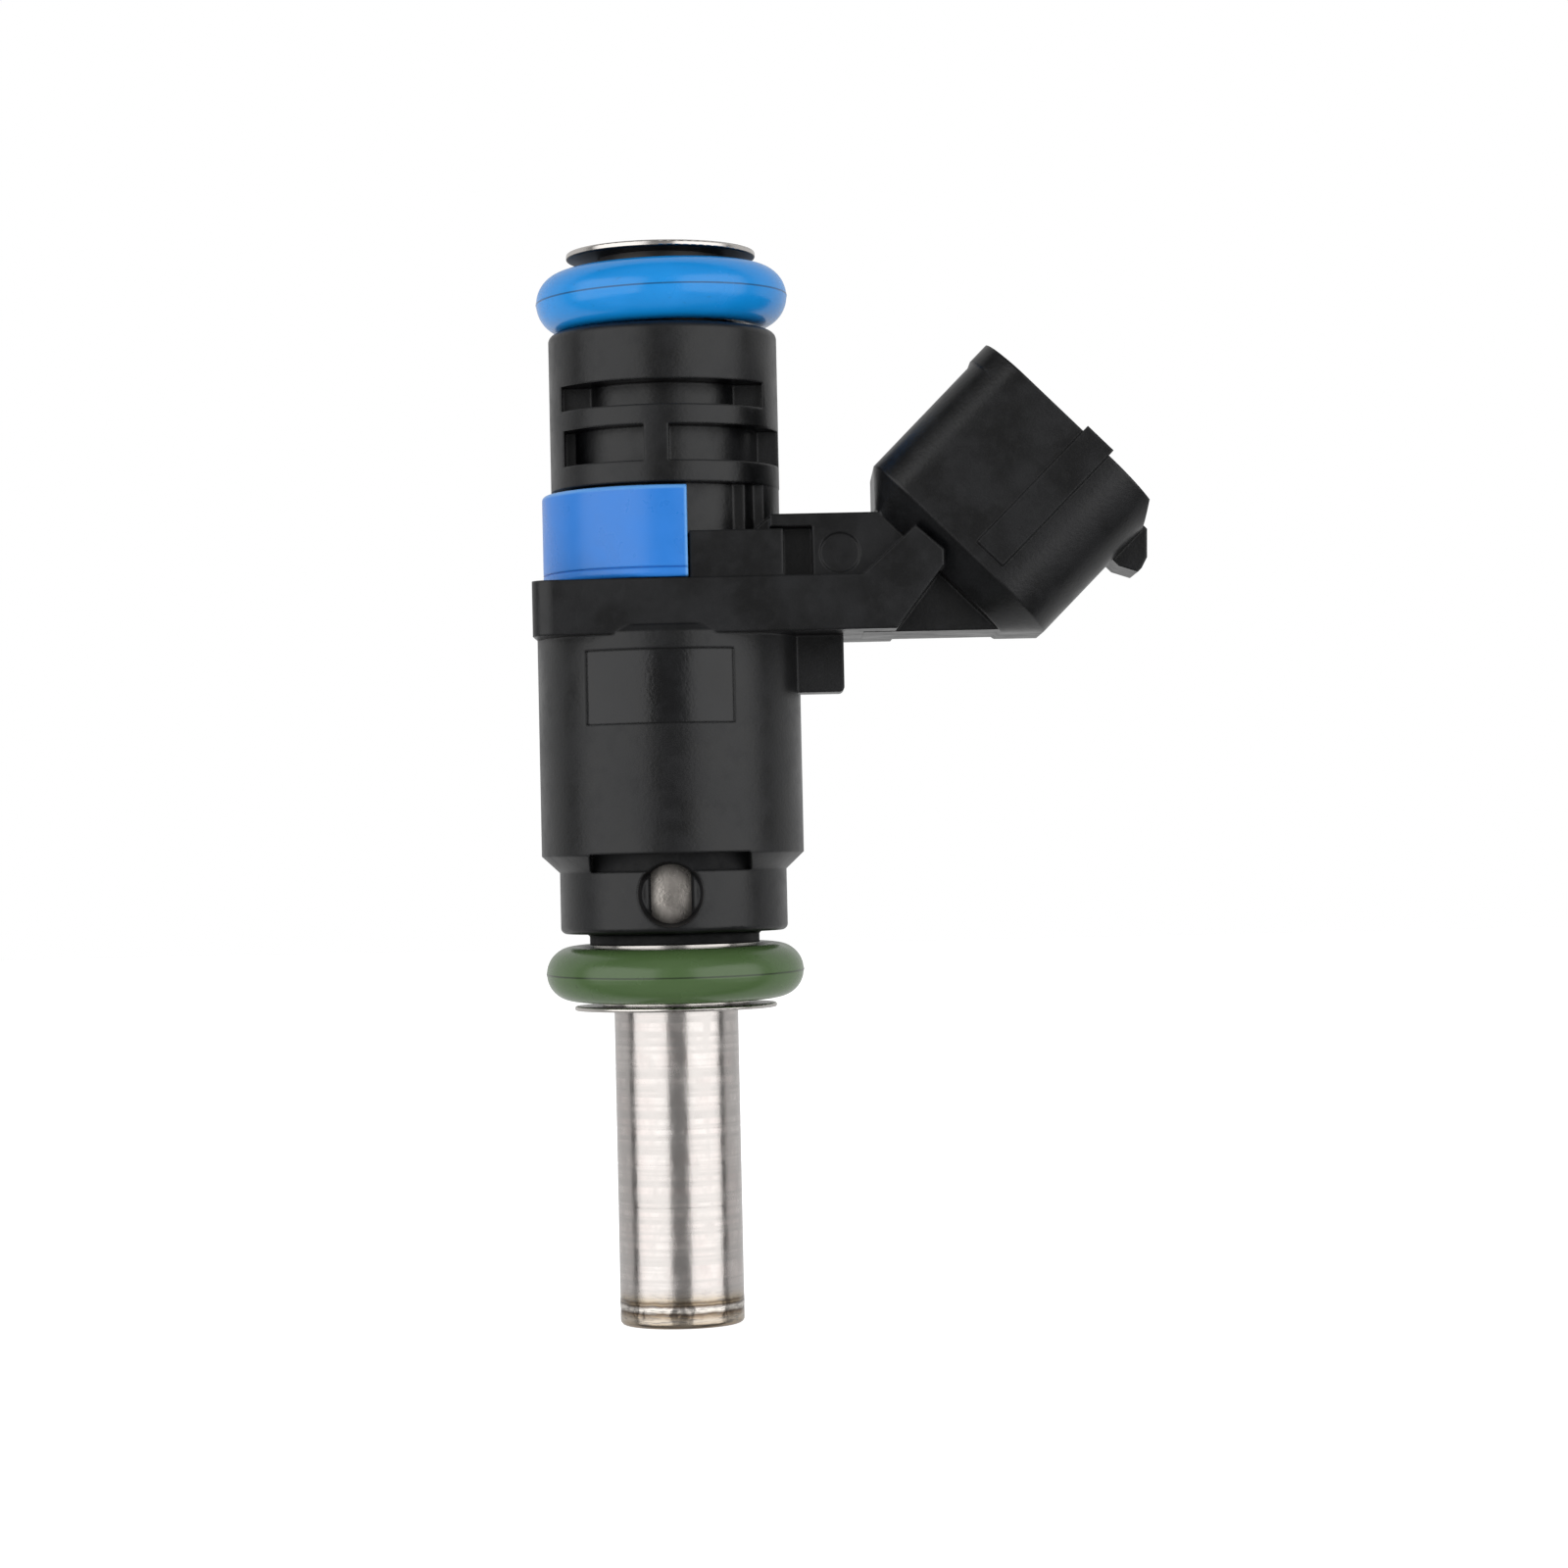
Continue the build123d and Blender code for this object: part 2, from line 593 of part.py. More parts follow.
with BuildPart() as overmold_housing:
    # turned stretch from the neck above the lower seal to the top collar
    with BuildSketch(Plane.XZ):
        Polygon(
            (0, NECK_Z),
            (NECK_R, NECK_Z),
            (NECK_R, COLLAR_LOW_Z[0] - COLLAR_EDGE / 2),
            (NECK_R + COLLAR_EDGE / 2, COLLAR_LOW_Z[0]),
            (COLLAR_LOW_R, COLLAR_LOW_Z[0]),
            (COLLAR_LOW_R, COLLAR_LOW_Z[1]),
            (BARREL_R, BARREL_Z[0]),
            (BARREL_R, BARREL_Z[1]),
            (BARREL_TOP_R, BARREL_Z[1] + BARREL_CHAMFER),
            (CLIP_NECK_R, BARREL_Z[1] + BARREL_CHAMFER),
            (CLIP_NECK_R, COLLAR_TOP_Z[0]),
            (COLLAR_TOP_R, COLLAR_TOP_Z[0]),
            (COLLAR_TOP_R, COLLAR_TOP_Z[1]),
            (0, COLLAR_TOP_Z[1]),
            align=None,
        )
    revolve(axis=Axis.Z)
    rims = overmold_housing.edges().filter_by(GeomType.CIRCLE)
    fillet(rims.group_by(Axis.Z)[-1], COLLAR_TOP_EDGE)
    low_rims = rims.filter_by_position(
        Axis.Z, COLLAR_LOW_Z[0] - FACE_GAP, COLLAR_LOW_Z[0] + FACE_GAP
    )
    fillet(low_rims.sort_by(SortBy.RADIUS)[-1], COLLAR_EDGE)

    # shoulder band below the clip: a block with rounded corners, wider than the barrel
    with BuildSketch(Plane.XY.offset(BAND_Z[0])) as band:
        with Locations((-BAND_X, 0)):
            Rectangle(BAND_X + ARM_TURN_X, 2 * BAND_HALF, align=(Align.MIN, Align.CENTER))
        fillet(band.vertices().group_by(Axis.X)[0], BAND_CORNER)
    extrude(amount=BAND_Z[1] - BAND_Z[0])

    # end of the arm's side plates, turned up towards the connector
    with BuildSketch(Plane.XZ):
        Polygon(
            (ARM_TURN_X - BAND_HALF, BAND_Z[0]),
            (ARM_FOOT_X, BAND_Z[0]),
            PLATE_END_LOW,
            (PLATE_END_LOW[0], PLATE_END_LOW[1] + PLATE_END_STEP),
            PLATE_END_HIGH,
            (ARM_TURN_X, BAND_Z[1]),
            (ARM_TURN_X - BAND_HALF, BAND_Z[1]),
            align=None,
        )
    extrude(amount=BAND_HALF, both=True)

    # block that stops the clip's ends, and the spine up to the top collar
    with BuildSketch(Plane.XY.offset(BAND_Z[1])):
        with Locations((BLOCK_X[0], 0)):
            Rectangle(BLOCK_X[1] - BLOCK_X[0], 2 * BLOCK_HALF, align=(Align.MIN, Align.CENTER))
    extrude(amount=BLOCK_TOP - BAND_Z[1])
    with BuildSketch(Plane.XY.offset(BAND_Z[1])):
        Circle(SPINE_R)
        Rectangle(WIDE, 2 * SPINE_HALF, align=(Align.MIN, Align.CENTER), mode=Mode.INTERSECT)
        with BuildSketch(mode=Mode.PRIVATE) as inner_spine:
            Circle(SPINE_INNER_R)
            Rectangle(WIDE, 2 * SPINE_INNER_HALF, align=(Align.MIN, Align.CENTER), mode=Mode.INTERSECT)
        add(inner_spine.sketch)
    extrude(amount=(COLLAR_TOP_Z[0] + SHORT_POCKET_Z[0]) / 2 - BAND_Z[1])

    # arm web between the side plates: a thick upper panel, a lip along its top and a deep lower web
    with BuildSketch(Plane.XZ):
        Polygon(
            (BLOCK_X[0], BAND_Z[1]),
            (WEB_END_X, BAND_Z[1]),
            (WEB_END_X, ARM_TOP - (WEB_END_X - WEB_TOP_X)),
            (WEB_TOP_X, ARM_TOP),
            (BLOCK_X[1] - WEB_LIP, ARM_TOP),
            align=None,
        )
    extrude(amount=LOW_WEB_HALF, both=True)
    with BuildSketch(Plane.XZ):
        Polygon(
            (RIB_X, BAND_Z[1]),
            (WEB_END_X, BAND_Z[1]),
            (WEB_END_X, ARM_TOP - (WEB_END_X - WEB_TOP_X)),
            (WEB_TOP_X, ARM_TOP),
            (RIB_X, ARM_TOP),
            align=None,
        )
        with Locations((BLOCK_X[1] - WEB_LIP, ARM_TOP)):
            Rectangle(RIB_X - BLOCK_X[1] + 2 * WEB_LIP, WEB_LIP, align=(Align.MIN, Align.MAX))
    extrude(amount=WEB_HALF, both=True)
    with BuildSketch(Plane.XZ):
        Polygon(
            (ARM_TURN_X, ARM_FOOT_Z),
            (LOW_WEB_END[0], ARM_FOOT_Z),
            LOW_WEB_END,
            PLATE_END_HIGH,
            (ARM_TURN_X, BAND_Z[1]),
            align=None,
        )
    extrude(amount=LOW_WEB_HALF, both=True)
    for side in (-1, 1):
        with BuildSketch(Plane.XZ.offset(side * (WEB_HALF - EJECTOR_MARK_DEPTH))):
            with Locations(EJECTOR_MARK_AT):
                Circle(EJECTOR_MARK_R)
        extrude(amount=side, mode=Mode.SUBTRACT)

    # square tab below the arm that sets the injector's angle in its pocket
    with BuildSketch(Plane.XZ) as tab:
        with Locations((TAB_X, TAB_Z)):
            Rectangle(
                TAB_X - BARREL_R + TAB_ROOT, BAND_Z[0] - TAB_Z, align=(Align.MAX, Align.MIN)
            )
        fillet(tab.vertices().group_by(Axis.Z)[0].sort_by(Axis.X)[-1], TAB_EDGE)
    extrude(amount=TAB_HALF, both=True)

    # connector shroud on its 45 degree axis, with a bevelled back
    for level, inset in ((PLUG_BACK, PLUG_BACK_CHAMFER), (PLUG_BACK + PLUG_BACK_CHAMFER, 0)):
        with BuildSketch(PLUG_PLANE.offset(level)) as outline:
            with Locations((PLUG_AXIS, 0)):
                Rectangle(PLUG_HIGH - PLUG_LOW - 2 * inset, 2 * (PLUG_HALF - inset))
            fillet(outline.vertices().group_by(Axis.X)[0], PLUG_LOW_CORNER - inset)
            fillet(outline.vertices().group_by(Axis.X)[-1], PLUG_HIGH_CORNER - inset)
    loft(ruled=True)
    with BuildSketch(PLUG_PLANE.offset(PLUG_BACK + PLUG_BACK_CHAMFER)) as outline:
        with Locations((PLUG_AXIS, 0)):
            Rectangle(PLUG_HIGH - PLUG_LOW, 2 * PLUG_HALF)
        fillet(outline.vertices().group_by(Axis.X)[0], PLUG_LOW_CORNER)
        fillet(outline.vertices().group_by(Axis.X)[-1], PLUG_HIGH_CORNER)
    extrude(amount=PLUG_MOUTH - PLUG_BACK - PLUG_BACK_CHAMFER)
    with BuildSketch(PLUG_PLANE.offset(PLUG_RIM)) as outline:
        with Locations((PLUG_LOW - PLUG_RIM_PROUD, 0)):
            Rectangle(
                PLUG_LOW_CORNER + PLUG_RIM_PROUD,
                2 * (PLUG_HALF - PLUG_RIM_PROUD),
                align=(Align.MIN, Align.CENTER),
            )
        fillet(outline.vertices().group_by(Axis.X)[0], PLUG_LOW_CORNER - PLUG_RIM_PROUD)
    extrude(amount=PLUG_MOUTH - PLUG_RIM)
    with BuildSketch(Plane.XZ):
        Polygon(
            plug_point(PLUG_MOUTH - PLUG_RIM_BEVEL[0], PLUG_HIGH),
            plug_point(PLUG_MOUTH, PLUG_HIGH - PLUG_RIM_BEVEL[1]),
            plug_point(PLUG_MOUTH + PLUG_WALL, PLUG_HIGH - PLUG_RIM_BEVEL[1]),
            plug_point(PLUG_MOUTH + PLUG_WALL, PLUG_HIGH + PLUG_WALL),
            plug_point(PLUG_MOUTH - PLUG_RIM_BEVEL[0], PLUG_HIGH + PLUG_WALL),
            align=None,
        )
    extrude(amount=WIDE, both=True, mode=Mode.SUBTRACT)

    # rib along each side of the shroud, ending in a key beyond the mouth
    with BuildSketch(PLUG_PLANE.offset(SIDE_RIB_BACK)):
        with Locations((SIDE_RIB[0], 0)):
            Rectangle(
                SIDE_RIB[1] - SIDE_RIB[0],
                2 * (PLUG_HALF + SIDE_RIB_PROUD),
                align=(Align.MIN, Align.CENTER),
            )
    extrude(amount=PLUG_MOUTH + SIDE_RIB_REACH - SIDE_RIB_BACK)

    # latch nose for the harness plug
    with BuildSketch(Plane.XZ):
        Polygon(
            plug_point(NOSE_BACK, PLUG_HIGH - NOSE_HEIGHT),
            plug_point(NOSE_BACK, PLUG_HIGH + NOSE_TIP[0] - NOSE_BACK),
            plug_point(NOSE_TIP[0], PLUG_HIGH + NOSE_HEIGHT),
            plug_point(NOSE_TIP[1], PLUG_HIGH + NOSE_HEIGHT),
            plug_point(NOSE_FACE, PLUG_HIGH + NOSE_HEIGHT - NOSE_FLAT),
            plug_point(NOSE_FRONT, PLUG_HIGH + NOSE_FLAT),
            plug_point(NOSE_FRONT, PLUG_HIGH - NOSE_HEIGHT),
            align=None,
        )
    extrude(amount=NOSE_HALF, both=True)

    # socket for the harness plug
    with BuildSketch(PLUG_PLANE.offset(PLUG_FLOOR)) as outline:
        with Locations((PLUG_AXIS, 0)):
            Rectangle(PLUG_HIGH - PLUG_LOW - 2 * PLUG_WALL, 2 * (PLUG_HALF - PLUG_WALL))
        fillet(outline.vertices().group_by(Axis.X)[0], PLUG_LOW_CORNER - PLUG_WALL)
        fillet(outline.vertices().group_by(Axis.X)[-1], PLUG_HIGH_CORNER - PLUG_WALL)
    extrude(amount=WIDE, mode=Mode.SUBTRACT)

    # conical windows in the lower collar that bare a strip of the magnet housing
    for side, turn in ((-1, 90), (1, -90)):
        with Locations((0, side * WINDOW_FLOOR, WINDOW_Z)):
            Cone(
                bottom_radius=WINDOW_R,
                top_radius=WINDOW_FUNNEL_R,
                height=WINDOW_DEPTH,
                rotation=(turn, 0, 0),
                align=(Align.CENTER, Align.CENTER, Align.MIN),
                mode=Mode.SUBTRACT,
            )

    # ledge on top of the lower collar, in front and behind
    with BuildSketch(Plane.XY.offset(LEDGE_Z[0])):
        Rectangle(2 * LEDGE_HALF, WIDE)
        Circle(LEDGE_FLOOR_R, mode=Mode.SUBTRACT)
    extrude(amount=LEDGE_Z[1] - LEDGE_Z[0], mode=Mode.SUBTRACT)

    # core-saving pockets in the top collar, in front and behind
    for low, high, left, right, floor_r, back in (
        (*LONG_POCKET_Z, -LONG_POCKET_X, LONG_POCKET_X, LONG_POCKET_FLOOR_R, LONG_POCKET_BACK),
        (*SHORT_POCKET_Z, *SHORT_POCKET_LEFT, SHORT_POCKET_FLOOR_R, SHORT_POCKET_BACK[0]),
        (*SHORT_POCKET_Z, *SHORT_POCKET_RIGHT, SHORT_POCKET_FLOOR_R, SHORT_POCKET_BACK[1]),
    ):
        for side in (-1, 1):
            with BuildSketch(Plane.XY.offset(low)):
                with Locations(((left + right) / 2, side * (WIDE / 2 + back))):
                    Rectangle(right - left, WIDE)
                Circle(floor_r, mode=Mode.SUBTRACT)
            extrude(amount=high - low, mode=Mode.SUBTRACT)

    # shallow marking field on the front of the barrel
    with BuildSketch(Plane.XY.offset(LABEL_Z[0])):
        with Locations((LABEL_X, 0)):
            Rectangle(LABEL_WIDTH, WIDE, align=(Align.CENTER, Align.MAX))
        Circle(BARREL_R - LABEL_DEPTH, mode=Mode.SUBTRACT)
    extrude(amount=LABEL_Z[1] - LABEL_Z[0], mode=Mode.SUBTRACT)

    # space moulded around the metal stack and the terminals
    with BuildSketch(Plane.XZ):
        Polygon(
            (0, 0),
            (CORE_R + WELD_GAP, 0),
            (CORE_R + WELD_GAP, MAGNET_Z[0] - FACE_GAP),
            (MAGNET_LOW_R + WELD_GAP, MAGNET_Z[0] - FACE_GAP),
            (MAGNET_LOW_R + WELD_GAP, MAGNET_STEP_Z[0]),
            (MAGNET_R + WELD_GAP, MAGNET_STEP_Z[1]),
            (MAGNET_R + WELD_GAP, MAGNET_Z[1] + FACE_GAP),
            (INLET_R + WELD_GAP, MAGNET_Z[1] + FACE_GAP),
            (INLET_R + WELD_GAP, WIDE),
            (0, WIDE),
            align=None,
        )
    revolve(axis=Axis.Z, mode=Mode.SUBTRACT)
    for side in (-1, 1):
        with BuildSketch(Plane.XZ.offset(-side * PIN_PITCH / 2)):
            with BuildLine():
                FilletPolyline(*pin_route, radius=PIN_BEND_R)
            trace(line_width=PIN_THICK + 2 * WELD_GAP)
        extrude(amount=PIN_WIDTH / 2 + WELD_GAP, both=True, mode=Mode.SUBTRACT)
finish(overmold_housing, "overmold_housing")
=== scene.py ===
"""Looks of the fuel injector: a material for every piece, meshes for the seals, the turned tip and
the return spring, and a plain pale studio. Lengths are in metres, in the part's own frame."""

import math

import bmesh
import bpy
from mathutils import Matrix, Vector, noise


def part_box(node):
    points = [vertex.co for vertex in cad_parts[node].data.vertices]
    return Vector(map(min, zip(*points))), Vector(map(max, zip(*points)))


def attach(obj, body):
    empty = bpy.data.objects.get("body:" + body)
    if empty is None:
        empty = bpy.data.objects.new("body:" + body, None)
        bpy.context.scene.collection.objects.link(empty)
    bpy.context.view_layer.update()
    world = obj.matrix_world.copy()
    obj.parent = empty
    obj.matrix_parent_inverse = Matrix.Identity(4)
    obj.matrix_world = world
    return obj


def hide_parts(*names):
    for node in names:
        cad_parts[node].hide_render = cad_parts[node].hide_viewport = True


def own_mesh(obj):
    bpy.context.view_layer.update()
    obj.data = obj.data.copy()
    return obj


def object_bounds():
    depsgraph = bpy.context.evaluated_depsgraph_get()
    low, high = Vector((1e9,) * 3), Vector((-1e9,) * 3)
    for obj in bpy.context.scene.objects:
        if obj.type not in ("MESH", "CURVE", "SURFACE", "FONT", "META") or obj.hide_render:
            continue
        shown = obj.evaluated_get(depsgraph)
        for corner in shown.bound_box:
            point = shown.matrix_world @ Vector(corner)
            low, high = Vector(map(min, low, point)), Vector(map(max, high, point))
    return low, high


MM = 0.001
X, Y, Z = 0, 1, 2
BODY = "injector_body"

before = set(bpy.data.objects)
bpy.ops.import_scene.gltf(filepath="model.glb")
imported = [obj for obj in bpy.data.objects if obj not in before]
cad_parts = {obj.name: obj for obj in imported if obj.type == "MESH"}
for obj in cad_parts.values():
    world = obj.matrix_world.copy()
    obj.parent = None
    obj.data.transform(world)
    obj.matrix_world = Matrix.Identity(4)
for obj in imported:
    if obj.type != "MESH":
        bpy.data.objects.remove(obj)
cad_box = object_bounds()


# ------------------------------------------------------------------ node helpers

MIX_FACTOR, MIX_COLOUR_A, MIX_COLOUR_B, MIX_COLOUR = 0, 6, 7, 2
MIX_VALUE_A, MIX_VALUE_B, MIX_VALUE = 2, 3, 0
BEVEL_SAMPLES = 6


def add_node(tree, kind, inputs=None, **settings):
    """Add a node. Each of inputs is the output of another node, which is linked, or a value."""
    made = tree.nodes.new(kind)
    for key, value in settings.items():
        setattr(made, key, value)
    for key, value in (inputs or {}).items():
        if isinstance(value, bpy.types.NodeSocket):
            tree.links.new(value, made.inputs[key])
        else:
            made.inputs[key].default_value = value
    return made


def set_stops(ramp, stops):
    """Give a colour ramp its (position, colour) stops."""
    marks = ramp.color_ramp.elements
    while len(marks) < len(stops):
        marks.new(1.0)
    for mark, (position, colour) in zip(marks, stops):
        mark.position = position
        mark.color = (*colour, 1)


def opaque(colour):
    return colour if isinstance(colour, bpy.types.NodeSocket) else (*colour, 1)


def shade(colour, factor):
    return tuple(min(1.0, c * factor) for c in colour)


class Shader:
    """One material, with short calls for the nodes that the recipes below share."""

    def __init__(self, name):
        self.material = bpy.data.materials.new(name)
        self.material.use_nodes = True
        self.tree = self.material.node_tree
        self.surface = self.tree.nodes["Principled BSDF"]
        self.place = self.add("ShaderNodeTexCoord").outputs["Object"]

    def add(self, kind, inputs=None, **settings):
        return add_node(self.tree, kind, inputs, **settings)

    def noise(self, size, detail=2.0, stretch=(1, 1, 1)):
        """Soft noise around 0.5. Its blobs are about size across, times stretch on each axis."""
        scale = [1 / (size * s) for s in stretch]
        point = self.add("ShaderNodeMapping", {"Vector": self.place, "Scale": scale})
        inputs = {"Vector": point.outputs[0], "Scale": 1.0, "Detail": detail}
        return self.add("ShaderNodeTexNoise", inputs).outputs["Fac"]

    def axis(self, index):
        return self.add("ShaderNodeSeparateXYZ", {"Vector": self.place}).outputs[index]

    def span(self, value, limits, to=(0.0, 1.0)):
        """Map value from one pair of limits to another, held at the ends and eased between them."""
        names = ("From Min", "From Max", "To Min", "To Max")
        inputs = dict(zip(names, (*limits, *to)), Value=value)
        return self.add("ShaderNodeMapRange", inputs, interpolation_type="SMOOTHSTEP").outputs[0]

    def inside(self, limits):
        """1 inside every (axis, low, high) of limits, and 0 outside."""
        found = 1.0
        for index, low, high in limits:
            value = self.axis(index)
            found = self.math("MULTIPLY", found, self.math("GREATER_THAN", value, low))
            found = self.math("MULTIPLY", found, self.math("LESS_THAN", value, high))
        return found

    def math(self, operation, a, b=0.0):
        return self.add("ShaderNodeMath", {0: a, 1: b}, operation=operation).outputs[0]

    def vector(self, operation, output, *values):
        inputs = dict(enumerate(values))
        return self.add("ShaderNodeVectorMath", inputs, operation=operation).outputs[output]

    def mix(self, factor, a, b):
        """Blend from colour a to colour b."""
        inputs = {MIX_FACTOR: factor, MIX_COLOUR_A: opaque(a), MIX_COLOUR_B: opaque(b)}
        return self.add("ShaderNodeMix", inputs, data_type="RGBA").outputs[MIX_COLOUR]

    def vary(self, factor, colour, shades):
        """Let colour drift between two shades of itself."""
        dark, pale = shades
        return self.mix(factor, shade(colour, dark), shade(colour, pale))

    def dust(self, tone, mask, share, colour):
        """Lay colour over tone where mask is 1, covering that share of it."""
        return self.mix(self.math("MULTIPLY", mask, share), tone, colour)

    def ramp(self, value, stops):
        """Colour read from (position, colour) stops, with value running from 0 to 1."""
        made = self.add("ShaderNodeValToRGB", {"Fac": value})
        set_stops(made, stops)
        return made.outputs["Color"]

    def bump(self, height, depth, normal=None):
        inputs = {"Height": height, "Distance": depth}
        if normal:
            inputs["Normal"] = normal
        return self.add("ShaderNodeBump", inputs).outputs[0]

    def rounded(self, radius):
        """Normals that turn smoothly over every edge, as if it had that radius."""
        return self.add("ShaderNodeBevel", {"Radius": radius}, samples=BEVEL_SAMPLES).outputs[0]

    def finish(self, **sockets):
        """Set the surface: a socket is linked, and a plain value is set on the shader itself."""
        for key, value in sockets.items():
            socket = self.surface.inputs[key.replace("_", " ")]
            if isinstance(value, bpy.types.NodeSocket):
                self.tree.links.new(value, socket)
            else:
                socket.default_value = value if isinstance(value, float) else opaque(value)
        return self.material


# In the recipes, a _FADE is the pair of values between which a pattern goes from none to full,
# a _SHADE is a factor of the base colour, and a _GLOSS is a change of the roughness.
WIDE_FADE = (0.30, 0.70)
SOFT_FADE = (0.35, 0.65)
SKIN_GLOSS = (-0.04, 0.06)


def around(middle, offsets):
    return tuple(middle + offset for offset in offsets)


def scaled(middle, factors):
    return tuple(middle * factor for factor in factors)


# --------------------------------------------------------------- moulded plastics

CLOUD_SIZE = 2.6 * MM
CLOUD_SHADES = (0.55, 1.6)
BLOOM_SIZE = 0.7 * MM
BLOOM_FADE = (0.45, 0.70)
BLOOM_SHARE = 0.30
BLOOM_SHADE = 2.0
BLOOM_GLOSS = 0.05
FLECK_SIZE = 0.16 * MM
FLECK_FADE = (0.62, 0.78)
FLECK_SHARE = 0.35
FLECK_SHADE = 3.0
FINE_DETAIL = 6.0
WAVE_SIZE = 2.5 * MM
WAVE_DETAIL = 3.0
WAVE_DEPTH = 0.014 * MM
GRAIN_SIZE = 0.20 * MM
GRAIN_DETAIL = 4.0
GRAIN_DEPTH = 0.010 * MM
NYLON_EDGE = 0.20 * MM
NYLON_SPECULAR = 0.40


def moulded_plastic(name, colour, roughness, fields=()):
    """Glass-filled nylon from an eroded mould: fine grain, slow waviness, pale flecks, soft edges.
    Each of fields is a box of (axis, low, high) limits and its factor of the roughness."""
    s = Shader(name)
    clouds = s.noise(CLOUD_SIZE, FINE_DETAIL)
    blooms = s.span(s.noise(BLOOM_SIZE, FINE_DETAIL), BLOOM_FADE)
    flecks = s.span(s.noise(FLECK_SIZE), FLECK_FADE)
    tone = s.vary(s.span(clouds, SOFT_FADE), colour, CLOUD_SHADES)
    tone = s.dust(tone, blooms, BLOOM_SHARE, shade(colour, BLOOM_SHADE))
    tone = s.dust(tone, flecks, FLECK_SHARE, shade(colour, FLECK_SHADE))
    waves = s.bump(s.noise(WAVE_SIZE, WAVE_DETAIL), WAVE_DEPTH, s.rounded(NYLON_EDGE))
    normal = s.bump(s.noise(GRAIN_SIZE, GRAIN_DETAIL), GRAIN_DEPTH, waves)
    gloss = s.span(clouds, WIDE_FADE, around(roughness, SKIN_GLOSS))
    gloss = s.math("ADD", gloss, s.math("MULTIPLY", blooms, BLOOM_GLOSS))
    for limits, factor in fields:
        gloss = s.math("MULTIPLY", gloss, s.span(s.inside(limits), (0.0, 1.0), (1.0, factor)))
    return s.finish(
        Base_Color=tone, Roughness=gloss, Normal=normal, Specular_IOR_Level=NYLON_SPECULAR
    )


CLIP_CLOUD_SIZE = 2.0 * MM
CLIP_CLOUD_DETAIL = 4.0
CLIP_SHADES = (0.90, 1.10)
CLIP_TOP_FADE = (-0.30 * MM, -0.12 * MM)
CLIP_END_FADE = (-0.20 * MM, -0.06 * MM)
CLIP_GRAIN_SIZE = 0.25 * MM
CLIP_GRAIN_DEPTH = 0.002 * MM
CLIP_EDGE = 0.15 * MM
CLIP_ROUGHNESS = (0.26, 0.34)


def clip_plastic(name, colour, highlight_colour, top, end):
    """Smooth moulded clip, with a painted highlight along its top rim and its cut ends."""
    s = Shader(name)
    clouds = s.noise(CLIP_CLOUD_SIZE, CLIP_CLOUD_DETAIL)
    tone = s.vary(clouds, colour, CLIP_SHADES)
    # Painted highlight: the clip is paler along its top rim and its cut end.
    at_top = s.span(s.axis(Z), around(top, CLIP_TOP_FADE))
    at_end = s.span(s.axis(X), around(end, CLIP_END_FADE))
    tone = s.mix(s.math("MAXIMUM", at_top, at_end), tone, highlight_colour)
    normal = s.bump(s.noise(CLIP_GRAIN_SIZE), CLIP_GRAIN_DEPTH, s.rounded(CLIP_EDGE))
    gloss = s.span(clouds, WIDE_FADE, CLIP_ROUGHNESS)
    return s.finish(Base_Color=tone, Roughness=gloss, Normal=normal)


# ------------------------------------------------------------------------- rubber

RUBBER_CLOUD_SIZE = 2.5 * MM
RUBBER_CLOUD_DETAIL = 4.0
RUBBER_SHADES = (0.90, 1.08)
SPECK_SIZE = 0.5 * MM
SPECK_STRETCH = (1, 1, 0.5)
SPECK_FADE = (0.64, 0.82)
SPECK_SHARE = 0.6
SPECK_SHADE = 0.6
# The dark line along the seam is painted shadow of the mould flash.
SEAM_SHADOW_FADE = (0.02 * MM, 0.07 * MM)
SEAM_SHADOW_SHARE = 0.85
SEAM_SHADOW_SHADE = 0.25
SKIN_SIZE = 0.30 * MM
SKIN_DETAIL = 3.0
SKIN_DEPTH = 0.004 * MM


def moulded_rubber(name, colour, seam_at, seam_up, roughness):
    """Fluoroelastomer ring: satin skin, faint mould marks and a painted shadow line along its
    parting seam, which lies in the plane through seam_at with the normal seam_up; the line stands
    for the shade of the flash."""
    s = Shader(name)
    clouds = s.noise(RUBBER_CLOUD_SIZE, RUBBER_CLOUD_DETAIL)
    tone = s.vary(clouds, colour, RUBBER_SHADES)
    specks = s.span(s.noise(SPECK_SIZE, SKIN_DETAIL, SPECK_STRETCH), SPECK_FADE)
    tone = s.dust(tone, specks, SPECK_SHARE, shade(colour, SPECK_SHADE))
    # Painted shadow: a dark line along the parting seam, for the shade beside the mould flash.
    arm = s.vector("SUBTRACT", "Vector", s.place, seam_at)
    rise = s.vector("DOT_PRODUCT", "Value", arm, seam_up)
    seam = s.span(s.math("ABSOLUTE", rise), SEAM_SHADOW_FADE, (SEAM_SHADOW_SHARE, 0.0))
    tone = s.mix(seam, tone, shade(colour, SEAM_SHADOW_SHADE))
    normal = s.bump(s.noise(SKIN_SIZE, SKIN_DETAIL), SKIN_DEPTH)
    gloss = s.span(clouds, WIDE_FADE, around(roughness, SKIN_GLOSS))
    return s.finish(Base_Color=tone, Roughness=gloss, Normal=normal)


# ------------------------------------------------------------------------- metals

TURNED_ONLY = (60, 60, 1)
PATCH_SIZE = 1.8 * MM
PATCH_STRETCH = (1, 1, 0.6)
PATCH_DETAIL = 5.0
PATCH_SHADES = (0.84, 1.08)
PATCH_FADE = (0.35, 0.70)
PATCH_GLOSS = (0.8, 1.3)
MARK_SIZE = 0.35 * MM
MARK_DEPTH = 0.004 * MM
SHADED_BELOW_SHADE = 0.12
SHADED_BELOW_ROUGHNESS = 0.45


